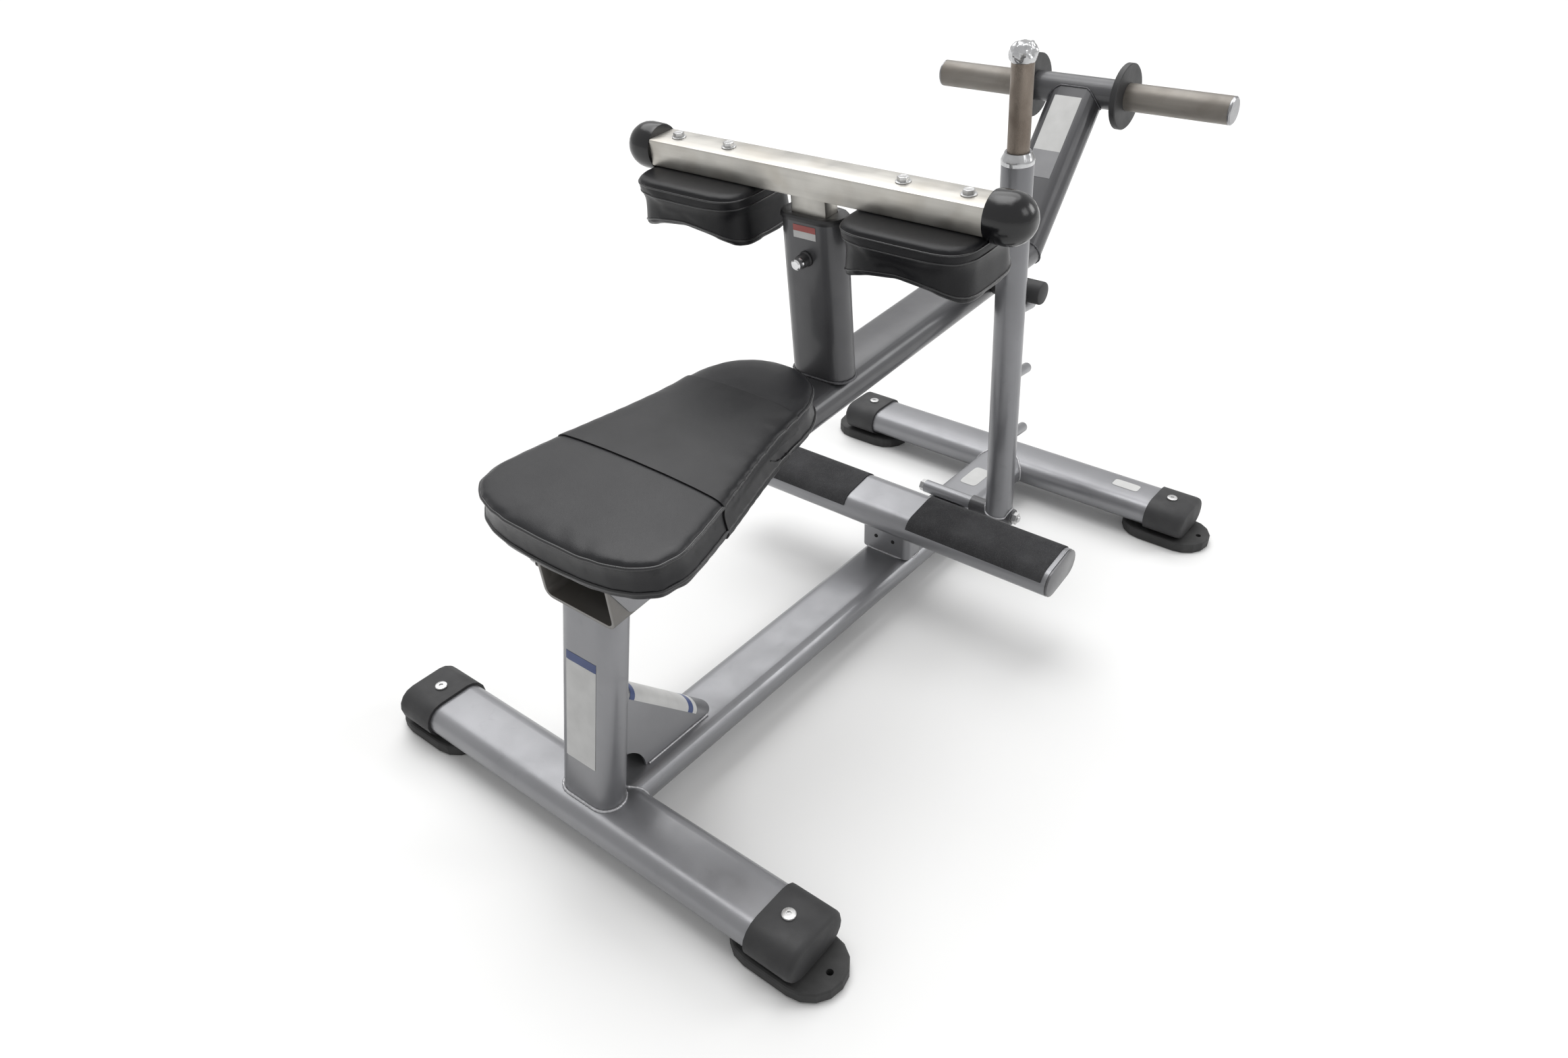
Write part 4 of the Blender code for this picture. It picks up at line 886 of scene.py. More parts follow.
    def flat_film(self, name: str, place: Color, size: tuple[float, float]) -> None:
        """Lay a blank film with round corners on a level face.

        Args:
            name: piece name.
            place: its middle.
            size: its width and length.
        """
        self.take()
        bpy.ops.mesh.primitive_circle_add(vertices=48, radius=1.0, fill_type="NGON")
        piece = bpy.context.object
        for vert in piece.data.vertices:
            for axis in (0, 1):
                vert.co[axis] = math.copysign(abs(vert.co[axis]) ** 0.32 * size[axis] / 2, vert.co[axis])
        self.edit(piece)
        bpy.ops.mesh.inset(thickness=self.film_border)
        bpy.ops.object.mode_set(mode="OBJECT")
        self.modify(piece, "SOLIDIFY", thickness=self.film)
        piece.matrix_world = placed(Vector(place) + Vector((0.0, 0.0, 0.0005)))
        self.hand_over(piece, name, self.looks.label, 60.0)


@dataclass
class Upholstery(Assembly):
    """Makes a padded piece from the solid that holds its place."""

    pressure: float = 4.0
    cloth_steps: int = 20
    voxel: float = 0.005
    # The furthest that swelling may move a point, the height where it starts, and how far on it is full.
    swell_limit: float = 0.0025
    swell_from: float = 0.002
    swell_fade: float = 0.012
    piping_radius: float = 0.0027

    def stuffed(self, node: str, base: Vector, up: Vector) -> Piece:
        """Return the cushion, swelled by a short cloth run.

        Args:
            node: the cushion's solid.
            base: a place on its flat side.
            up: direction away from its flat side.

        Returns:
            The cushion, on no body.
        """
        piece = self.copy_solid(node)
        self.modify(piece, "REMESH", mode="VOXEL", voxel_size=self.voxel)
        self.modify(piece, "SMOOTH", factor=0.5, iterations=3)
        self.swell(piece, base, up)
        self.modify(piece, "SMOOTH", factor=0.5, iterations=4)
        self.modify(piece, "SUBSURF", levels=1, render_levels=1)
        return piece

    def swell(self, piece: Piece, base: Vector, up: Vector) -> None:
        """Blow a closed mesh up a little with cloth pressure and keep a capped share of it.

        Args:
            piece: the mesh.
            base: a place on its flat side.
            up: direction away from its flat side.
        """
        scene = bpy.context.scene
        start = [vert.co.copy() for vert in piece.data.vertices]
        cloth = piece.modifiers.new("Swell", "CLOTH")
        cloth.settings.use_pressure = True
        cloth.settings.uniform_pressure_force = self.pressure
        cloth.settings.effector_weights.gravity = 0.0
        cloth.settings.quality = 4
        for frame in range(1, self.cloth_steps + 1):
            scene.frame_set(frame)
        shaped = piece.evaluated_get(bpy.context.evaluated_depsgraph_get())
        ends = [vert.co.copy() for vert in shaped.data.vertices]
        piece.modifiers.remove(cloth)
        scene.frame_set(1)
        for vert, old, new in zip(piece.data.vertices, start, ends):
            move = new - old
            if move.length > self.swell_limit:
                move *= self.swell_limit / move.length
            share = ((old - base).dot(up) - self.swell_from) / self.swell_fade
            vert.co = old + move * min(1.0, max(0.0, share))
        piece.data.update()

    @staticmethod
    def slice_loop(piece: Piece, place: Vector, normal: Vector) -> list[Vector]:
        """Return the longest loop where a plane cuts a piece.

        Args:
            piece: the piece.
            place: a place on the plane.
            normal: the plane's normal.

        Returns:
            Places along the loop, evenly thinned and smoothed.
        """
        mesh = bmesh.new()
        mesh.from_mesh(piece.data)
        geometry = mesh.verts[:] + mesh.edges[:] + mesh.faces[:]
        cut = bmesh.ops.bisect_plane(mesh, geom=geometry, plane_co=place, plane_no=normal)["geom_cut"]
        links: dict = {item: [] for item in cut if isinstance(item, bmesh.types.BMVert)}
        for item in cut:
            if isinstance(item, bmesh.types.BMEdge):
                links[item.verts[0]].append(item.verts[1])
                links[item.verts[1]].append(item.verts[0])
        best: list[Vector] = []
        seen: set = set()
        for first in links:
            walk = [] if first in seen else [first]
            onward = walk[:]
            while onward:
                seen.add(walk[-1])
                onward = [vert for vert in links[walk[-1]] if vert not in seen][:1]
                walk += onward
            if len(walk) > len(best):
                best = [vert.co.copy() for vert in walk]
        mesh.free()
        thin = best[::3]
        return [(thin[i - 1] + thin[i] * 2 + thin[(i + 1) % len(thin)]) / 4 for i in range(len(thin))]


@dataclass
class Seat(Upholstery):
    """Cushion, stretch cover, board, mount plate and bracket."""

    length: float = 0.470
    half_rear: float = 0.164
    half_front: float = 0.102
    round_rear: float = 0.076
    round_front: float = 0.110
    rear_power: float = 2.6
    front_power: float = 2.15
    lengthen: float = 1.0112
    widen: float = 1.022
    flatten: float = 0.81
    side_height: float = 0.0405
    edge_height: float = 0.0375
    # The rim hangs this far below the board's top, over this width, but not over the lever beam.
    hang: float = 0.012
    rim: tuple[float, float] = (0.014, 0.020)
    beam_clear: tuple[float, float] = (0.056, 0.074)
    beam_from: float = 0.4
    piping: tuple[float, float] = (0.0021, 0.0378)
    # The stretch cover runs between these places. Under the board it is open, and the opening narrows ahead.
    cover: tuple[float, float] = (0.1665, 0.3695)
    open_half: float = 0.130
    open_taper: float = 0.1035
    open_from: float = 0.10
    open_height: float = 0.020
    cover_lift: float = 0.0004
    cover_wall: float = 0.0019
    cover_edge: float = 0.0006
    cheek_x: float = 0.065
    cheek_wall: float = 0.004
    plate_wall: float = 0.005
    bolt_x: float = 0.0905
    bolt_at: tuple[float, float] = (0.050, 0.148)
    rivets: tuple[tuple[float, float], ...] = ((0.112, -0.020), (0.128, -0.068))
    side_bolt: tuple[float, float] = (0.0400, -0.0520)
    gusset_weld: tuple[float, ...] = (0.082, 0.13, 0.208)
    # The gusset is a channel along this slope: half its width, its crown, its inside, its notch at the post.
    gusset_line: Axis = Axis(0.0525 + SHIFT, 0.2188, -44.3)
    gusset_half: float = 0.025
    gusset_crown: float = 0.0168
    gusset_inside: tuple[float, float, float] = (0.021, 0.0140, 0.0045)
    gusset_notch: float = 0.052
    channel_start: float = -0.12
    channel_length: float = 0.40
    channel_wall: float = 0.16

    def build(self) -> None:
        """Build and dress the seat."""
        looks = self.looks
        for node, look in (("seat_board", looks.wood), ("seat_mount_plate", looks.bracket)):
            self.dress(node, look)
        for node, look in (("seat_bracket", looks.bracket), ("left_pivot_cheek", looks.silver),
                           ("right_pivot_cheek", looks.silver), ("seat_post", looks.silver),
                           ("lever_pivot_bolt", looks.zinc)):
            self.refine(node, look, 0.0004)
        self.make_gusset()
        up = SEAT.aside()
        cushion = self.stuffed("seat_pad", SEAT.at(0), up)
        self.settle(cushion, up)
        self.make_cover(cushion, up)
        for index, height in enumerate(self.piping):
            loop = self.slice_loop(cushion, SEAT.at(0, height), up)
            self.bead(f"seat_piping_{index + 1}", loop, self.piping_radius, looks.piping)
        self.hand_over(cushion, "seat_cushion", looks.vinyl, 60.0)
        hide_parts("seat_pad")
        self.add_fasteners()
        self.add_labels()
        self.add_welds()

    def half_width(self, along: float) -> float:
        """Return half the cushion's width at a distance from its rear end."""
        span = (along - self.round_rear) / (self.length - self.round_front - self.round_rear)
        span = min(max(span, 0.0), 1.0)
        taper = span * (0.55 + span * (3 - 2 * span) * 0.45)
        half = self.half_rear - (self.half_rear - self.half_front) * taper
        if along < self.round_rear:
            half *= rounded(along / self.round_rear, self.rear_power)
        if self.length - along < self.round_front:
            half *= rounded((self.length - along) / self.round_front, self.front_power)
        return half

    def settle(self, piece: Piece, up: Vector) -> None:
        """Fill the cushion out to its outline, with its rim hung round the board, clear of the beam.

        Args:
            piece: the stuffed cushion.
            up: direction square to the board.
        """
        along = SEAT.ahead()
        steps = 240
        tree = KDTree(2 * (steps + 1))
        for step in range(steps + 1):
            far = self.length * (1 - math.cos(math.pi * step / steps)) / 2
            for side in (-1, 1):
                tree.insert(Vector((side * self.half_width(far), far, 0.0)), step)
        tree.balance()
        for vert in piece.data.vertices:
            place = vert.co - SEAT.at(0)
            far = (place.dot(along) - self.length / 2) * self.lengthen + self.length / 2
            across = place.x * self.widen
            height = place.dot(up)
            inward = tree.find(Vector((across, far, 0.0)))[2]
            if height > self.side_height:
                level = self.edge_height + (height - self.side_height) * self.flatten
            elif inward > self.rim[1]:
                level = height
            else:
                share = 1.0 - ease(inward, *self.rim)
                if far > self.length * self.beam_from:
                    share *= ease(abs(across), *self.beam_clear)
                hung = -self.hang + height * (self.edge_height + self.hang) / self.side_height
                level = height * self.edge_height / self.side_height * (1.0 - share) + hung * share
            vert.co = SEAT.at(far, level, across)
        piece.data.update()

    def make_cover(self, cushion: Piece, up: Vector) -> None:
        """Make the stretch cover as a sleeve that follows the finished cushion.

        Args:
            cushion: the finished cushion.
            up: direction square to the board.
        """

        def under_board(face: Face) -> bool:
            """Say whether a face lies under the board, where the sleeve is open."""
            middle = face.calc_center_median() - SEAT.at(0)
            half = self.open_half - self.open_taper * max(0.0, middle.dot(along) - self.open_from)
            return middle.dot(up) < self.open_height and abs(middle.x) < half

        along = SEAT.ahead()
        piece = self.twin(cushion)
        self.edit(piece)
        for distance, keep_far in zip(self.cover, (True, False)):
            self.trim(SEAT.at(distance), along, keep_far)
        self.drop(piece, under_board)
        self.thicken(piece, self.cover_lift, self.cover_wall)
        self.modify(piece, "BEVEL", width=self.cover_edge, segments=2, limit_method="ANGLE")
        self.hand_over(piece, "seat_stretch_cover", self.looks.cover, 50.0)
        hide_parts("seat_cover")

    def channel(self, half: float, crown: float, drop: float) -> Piece:
        """Model a straight channel with a rounded back that runs down along the gusset's slope.

        Args:
            half: half its width.
            crown: height of the rounded back over its sides.
            drop: how far it lies inside the gusset's outline.

        Returns:
            The solid channel, longer than the gusset at both ends.
        """
        piece = self.cylinder(half, self.channel_length, 40)
        self.edit(piece)
        self.trim((0, 0, 0), (0, 1, 0), False, True)
        bpy.ops.mesh.select_all(action="SELECT")
        bpy.ops.transform.resize(value=(1.0, crown / half, 1.0))
        self.pick(piece, lambda face: face.normal.y > 0.9)
        bpy.ops.mesh.extrude_region_move(TRANSFORM_OT_translate={"value": (0.0, self.channel_wall, 0.0)})
        bpy.ops.mesh.select_all(action="SELECT")
        bpy.ops.mesh.normals_make_consistent(inside=False)
        slope = self.gusset_line
        self.take(piece)
        piece.matrix_world = placed(slope.at(self.channel_start, -drop), ("X", slope.pitch - 90.0))
        bpy.ops.object.transform_apply(location=True, rotation=True, scale=True)
        return piece

    def make_gusset(self) -> None:
        """Shape the gusset's channel, cut it to the post and the spine, and lay blank film over its back."""
        piece = self.channel(self.gusset_half, self.gusset_crown, 0.0)
        face = SEAT_POST.at(0.0, -TUBE_H / 2 - SEAT_GAP)
        self.edit(piece)
        self.trim(face, SEAT_POST.aside(-1.0), True, True)
        self.trim((0, 0, TUBE_TOP + SEAT_GAP), (0, 0, 1), True, True)
        self.take(piece)
        film = self.twin(piece)
        inner = self.channel(*self.gusset_inside)
        notch = self.cylinder(self.gusset_notch, 0.12, 40)
        notch.matrix_world = placed((-0.06, face.y, TUBE_TOP), ("Y", 90.0))
        for cutter in (inner, notch):
            self.take(piece)
            self.modify(piece, "BOOLEAN", operation="DIFFERENCE", solver="EXACT", object=cutter)
            bpy.data.objects.remove(cutter, do_unlink=True)
        self.hand_over(piece, "gusset_bent_plate", self.looks.silver, 40.0)
        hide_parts("seat_gusset")
        for name, start, stop, look in (("gusset_film", 0.021, 0.158, self.looks.label),
                                        ("gusset_film_band_1", 0.010, 0.021, self.looks.label_edge),
                                        ("gusset_film_band_2", 0.158, 0.171, self.looks.label_edge),
                                        ("gusset_film_tip", 0.171, 0.181, self.looks.label)):
            part = self.twin(film)
            self.lay_film(part, start, stop)
            self.hand_over(part, name, look, 50.0)
        bpy.data.objects.remove(film, do_unlink=True)

    def lay_film(self, piece: Piece, start: float, stop: float) -> None:
        """Keep a stretch of the gusset's rounded back and lift it off as a thin film.

        Args:
            piece: a copy of the uncut channel.
            start: where the film starts along the slope.
            stop: where it ends.
        """
        slope = self.gusset_line
        outward = slope.aside()
        self.edit(piece)
        for distance, keep_far in ((start, True), (stop, False)):
            self.trim(slope.at(distance), slope.ahead(), keep_far)
        self.drop(piece, lambda face: face.normal.dot(outward) < 0.10)
        self.thicken(piece, 0.0003, self.film)

    def add_fasteners(self) -> None:
        """Add the seat bolts, the cheek plates' rivets and the bracket's side bolt."""
        zinc = self.looks.zinc
        under = -SEAT_GAP * 3 - self.plate_wall
        places = {f"seat_bolt_{end}_{name}": placed(SEAT.at(along, under, side * self.bolt_x),
                                                    ("X", SEAT.pitch), ("X", 180.0))
                  for name, side in SIDES for end, along in zip(("rear", "front"), self.bolt_at)}
        self.copies(self.hex_head(0.0058, 0.0042, 0.0078), places, zinc)
        face = self.cheek_x + SEAT_GAP + self.cheek_wall
        places = {f"cheek_rivet_{name}_{index + 1}": placed(SEAT.at(*rivet, side * face), ("Y", side * 90.0))
                  for name, side in SIDES for index, rivet in enumerate(self.rivets)}
        self.copies(self.socket_screw(0.0055, 0.0028, 0.0022), places, zinc)
        place = placed(SEAT.at(*self.side_bolt, -face - SEAT_GAP), ("Y", -90.0))
        self.copies(self.hex_head(0.0070, 0.0120, 0.0085), {"bracket_side_bolt": place}, zinc)

    def add_labels(self) -> None:
        """Add the blank films on the post."""
        for name, along, height, look in (("post_label", 0.1408, 0.1565, self.looks.label),
                                          ("post_label_band", 0.2257, 0.0130, self.looks.label_edge)):
            frame = placed(SEAT_POST.at(along, 0.040, -0.0012), ("X", SEAT_POST.pitch))
            self.sticker(name, "seat_post", frame, (0.0565, height), look, Slot.SILVER)

    def add_welds(self) -> None:
        """Add the weld beads at the post and the gusset."""
        stretch = 1.0 / math.cos(math.radians(POST_LEAN))
        ring = [Vector((u, v * stretch + SHIFT, TUBE_TOP + 0.0010))
                for u, v in oval(TUBE_W + 0.002, TUBE_H + 0.001)]
        self.bead("post_base_weld", ring, 0.0024, self.looks.silver_weld, True, RIPPLE)
        for name, side in SIDES:
            line = [Vector((side * (self.gusset_half + 0.0012), y + SHIFT, TUBE_TOP + 0.0012))
                    for y in self.gusset_weld]
            self.bead(f"gusset_weld_{name}", line, 0.0018, self.looks.silver_weld, False, RIPPLE)


@dataclass
class Base(Assembly):
    """Cross feet, spine, caps and floor pads."""

    cap_screw_x: float = 0.348
    cap_wall: float = 0.0048

    def build(self) -> None:
        """Dress the base and add its screws, welds and labels."""
        for node in ("front_foot_tube", "rear_foot_tube", "spine_tube"):
            self.refine(node, self.looks.silver)
        places = {}
        for end, y in (("front", 0.0), ("rear", FOOT_GAP)):
            for name, side in SIDES:
                self.refine(f"{end}_{name}_cap", self.looks.rubber)
                self.dress(f"{end}_{name}_floor_pad", self.looks.pad_rubber)
                places[f"cap_screw_{end}_{name}"] = placed(
                    (side * self.cap_screw_x, y + SHIFT, TUBE_TOP + self.cap_wall + SEAT_GAP))
        self.copies(self.socket_screw(0.0098, 0.0030, 0.0034), places, self.looks.zinc)
        for end, y, facing in (("front", 0.0, 1), ("rear", FOOT_GAP, -1)):
            ring = []
            for u, v in oval(TUBE_W + 0.001, TUBE_H + 0.001):
                reach = math.sqrt(max(0.0, (TUBE_H / 2) ** 2 - v * v))
                middle = TUBE_W / 2 - TUBE_H / 2 + reach + 0.0012
                ring.append(Vector((u, y + SHIFT + facing * middle, FOOT_Z + v)))
            self.bead(f"spine_{end}_weld", ring, 0.0022, self.looks.silver_weld, True, RIPPLE)
        self.flat_film("spine_label", (-0.001, 1.0485 + SHIFT, TUBE_TOP), (0.036, 0.069))
        self.flat_film("rear_foot_label", (0.2548, 1.1945 + SHIFT, TUBE_TOP), (0.0525, 0.0245))


@dataclass
class Footrest(Assembly):
    """Footrest tube, grips, end plates and stub."""

    stub_y: float = 0.745
    stub_size: tuple[float, float] = (0.1015, 0.0515)
    stub_face: float = 0.720
    hole_shade_x: float = 0.018
    hole_shade_z: float = 0.106

    def build(self) -> None:
        """Dress the footrest and add its weld, and the dark discs painted on the stub as the shade in its
        holes.
        """
        for node in ("footrest_tube", "footrest_stub"):
            self.refine(node, self.looks.silver)
        for side, _ in SIDES:
            self.refine(f"footrest_{side}_grip", self.looks.grip)
            self.refine(f"footrest_{side}_end_plate", self.looks.end_plate, 0.0006)
        ring = [Vector((u, self.stub_y + SHIFT + v, TUBE_TOP + 0.0012)) for u, v in oval(*self.stub_size)]
        self.bead("stub_base_weld", ring, 0.0022, self.looks.silver_weld, True, RIPPLE)
        # Painted shade: two thin dark discs on the stub's face stand for the shade inside its holes.
        face = self.stub_face + SHIFT - 0.0002
        places = {f"stub_hole_shade_{name}": placed((side * self.hole_shade_x, face, self.hole_shade_z), ("X", 90.0))
                  for name, side in SIDES}
        self.copies(self.socket_screw(0.0036, 0.0008, 0.0014), places, self.looks.painted_hole_shade)


@dataclass
class Lever(Assembly):
    """Beam, posts, weight horns, roller and pivot."""

    body: str = "lever"
    post_extra: float = 0.012
    post_end: float = 0.245
    cross_tube_at: float = 0.3096
    cross_tube_radius: float = 0.0265
    cope_limit: float = 0.0262

    def build(self) -> None:
        """Dress the lever and add its welds and labels."""
        looks = self.looks
        for node in ("lever_hub", "lever_beam", "thigh_post", "weight_arm", "weight_cross_tube",
                     "roller_pin"):
            self.refine(node, looks.graphite)
        for node in ("left_pivot_bush", "right_pivot_bush", "post_collar", "pop_pin_barrel"):
            self.refine(node, looks.plastic, 0.0003)
        self.redraw("thigh_post", POST.ahead(), self.post_end, 1.0, self.post_extra)
        self.redraw("post_collar", POST.ahead(), 0.0, 1.0, self.post_extra)
        self.redraw("pop_pin_barrel", POST.aside(), PIN_FACE, PIN_SHARE, 0.0)
        self.refine("catch_roller", looks.rubber)
        for side, _ in SIDES:
            for name, look in (("plate_stop", looks.stop), ("weight_sleeve", looks.sleeve),
                               ("sleeve_plug", looks.plug)):
                self.refine(f"{side}_{name}", look)
        self.add_welds()
        self.add_labels()

    def add_welds(self) -> None:
        """Add the beads at the thigh post, the knee and the cross tube."""
        weld = self.looks.graphite_weld
        lean = math.sin(math.radians(POST.pitch - BEAM.pitch))
        ring = [BEAM.at(POST_AT - v / lean - 0.0003, TUBE_H / 2 + 0.0012, u)
                for u, v in oval(TUBE_W + 0.002, TUBE_H + 0.001)]
        self.bead("thigh_post_weld", ring, 0.0023, weld, True, RIPPLE)
        half = math.radians((ARM.pitch - BEAM.pitch) / 2)
        ring = [BEAM.at(KNEE_AT - v * math.tan(half), v, u) for u, v in oval(TUBE_W + 0.0005, TUBE_H + 0.0005)]
        self.bead("knee_weld", ring, 0.0018, weld, True, 0.12)
        ring = []
        for u, v in oval(TUBE_W + 0.001, TUBE_H + 0.001):
            cope = min(abs(v), self.cope_limit)
            reach = math.sqrt(max(0.0, self.cross_tube_radius ** 2 - cope ** 2))
            ring.append(ARM.at(self.cross_tube_at - reach - 0.0008, v, u))
        self.bead("cross_tube_weld", ring, 0.0014, weld, True, 0.14)

    def add_labels(self) -> None:
        """Add the blank films on the arm and the thigh post."""
        looks = self.looks
        for name, line, node, middle, off, x, size, look in (
                ("arm_label", ARM, "weight_arm", 0.2320, 0.045, -0.0027, (0.053, 0.1040), looks.label),
                ("arm_label_foot", ARM, "weight_arm", 0.1548, 0.045, -0.0027, (0.053, 0.0504),
                 looks.clear_film),
                ("thigh_post_label", POST, "thigh_post", 0.2497, 0.040, 0.0, (0.038, 0.0098), looks.label),
                ("thigh_post_label_band", POST, "thigh_post", 0.2591, 0.040, 0.0, (0.038, 0.0088),
                 looks.red_film)):
            frame = placed(line.at(middle, off, x), ("X", line.pitch))
            self.sticker(name, node, frame, size, look, Slot.GRAPHITE)


@dataclass
class ThighPads(Upholstery):
    """Crossbar, domes, bolts and the two thigh cushions."""

    body: str = "thigh_carriage"
    voxel: float = 0.004
    swell_limit: float = 0.0012
    swell_fade: float = 0.016
    piping_radius: float = 0.0014
    bolt_x: tuple[float, float] = (0.1453, 0.2402)
    bolt_turn: float = 17.0
    bar_at: float = 0.3217
    bar_height: float = 0.0385
    pipe_drop: float = 0.0085
    lid_seam: float = 0.0205
    pad_x: float = 0.1806
    pad_half: float = 0.0918
    growth: tuple[float, float] = (0.0105, 0.0100)
    stretch: tuple[float, float] = (0.10, 0.31)
    low_rise: float = 0.0090
    # The arch is felt for from below, at this share of the way out to the loop, or taken to be this deep.
    feel_drop: float = 0.045
    feel_share: float = 0.86
    arch_depth: float = 0.075

    def build(self) -> None:
        """Build and dress the thigh pads."""
        looks = self.looks
        self.refine("pad_slide_tube", looks.bar)
        self.refine("pad_crossbar", looks.bar)
        self.refine("pop_pin", looks.bright, body="pop_pin")
        self.redraw("pop_pin", POST.aside(), PIN_FACE, PIN_SHARE, 0.0)
        centre = POST.at(self.bar_at)
        bar = Axis(centre.y, centre.z, POST.pitch - 90.0)
        up = bar.aside()
        flat = bar.at(0, -self.bar_height / 2 - SEAT_GAP)
        places = {}
        for name, side in SIDES:
            self.refine(f"{name}_bar_dome", looks.dome, angle=50.0)
            cushion = self.stuffed(f"{name}_thigh_pad", flat, -up)
            self.fill_out(cushion, flat, up, side)
            loops = [self.slice_loop(cushion, flat - up * drop, up) for drop in (self.pipe_drop, self.lid_seam)]
            loops.append(self.low_seam(cushion, flat, up, side))
            for index, loop in enumerate(loops):
                self.bead(f"{name}_pad_piping_{index + 1}", loop, self.piping_radius, looks.piping)
            # The cushion's vinyl carries painted shade, darker than the seat's.
            self.hand_over(cushion, f"{name}_thigh_cushion", looks.shaded_pad_vinyl, 60.0)
            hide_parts(f"{name}_thigh_pad")
            for index, x in enumerate(self.bolt_x):
                place = bar.at(0, self.bar_height / 2 + SEAT_GAP, side * x)
                places[f"bar_bolt_{name}_{index + 1}"] = placed(place, ("X", bar.pitch),
                                                                ("Z", self.bolt_turn * index))
        self.copies(self.hex_head(0.0080, 0.0058, 0.0105), places, looks.zinc)

    def fill_out(self, piece: Piece, flat: Vector, up: Vector, side: int) -> None:
        """Lengthen the pad a little and let its two ends hang lower over the thigh.

        Args:
            piece: the stuffed pad.
            flat: a place on its flat top.
            up: direction square to its flat top.
            side: -1 for the left pad, 1 for the right one.
        """
        inner, outer = self.growth
        middle, end = self.stretch
        for vert in piece.data.vertices:
            share = (side * vert.co.x - self.pad_x) / self.pad_half
            below = max(0.0, (flat - vert.co).dot(up) - self.lid_seam)
            vert.co -= up * below * (middle + (end - middle) * min(1.0, share * share))
            vert.co.x += side * share * (outer if share > 0.0 else inner)
        piece.data.update()

    def low_seam(self, piece: Piece, flat: Vector, up: Vector, side: int) -> list[Vector]:
        """Return the loop that follows the pad's arched underside, a little above it.

        Args:
            piece: the finished pad.
            flat: a place on its flat top.
            up: direction square to its flat top.
            side: -1 for the left pad, 1 for the right one.

        Returns:
            Places along the loop.
        """
        bpy.context.view_layer.update()
        middle = flat + Vector((side * self.pad_x, 0.0, 0.0))
        places = []
        for place in self.slice_loop(piece, flat - up * self.feel_drop, up):
            away = place - middle
            away -= up * away.dot(up)
            found, bottom, _, _ = piece.ray_cast(middle + away * self.feel_share - up * 0.2, up)
            depth = (flat - bottom).dot(up) if found else self.arch_depth
            target = middle + away - up * (depth - self.low_rise)
            places.append(piece.closest_point_on_mesh(target)[1].copy())
        return places


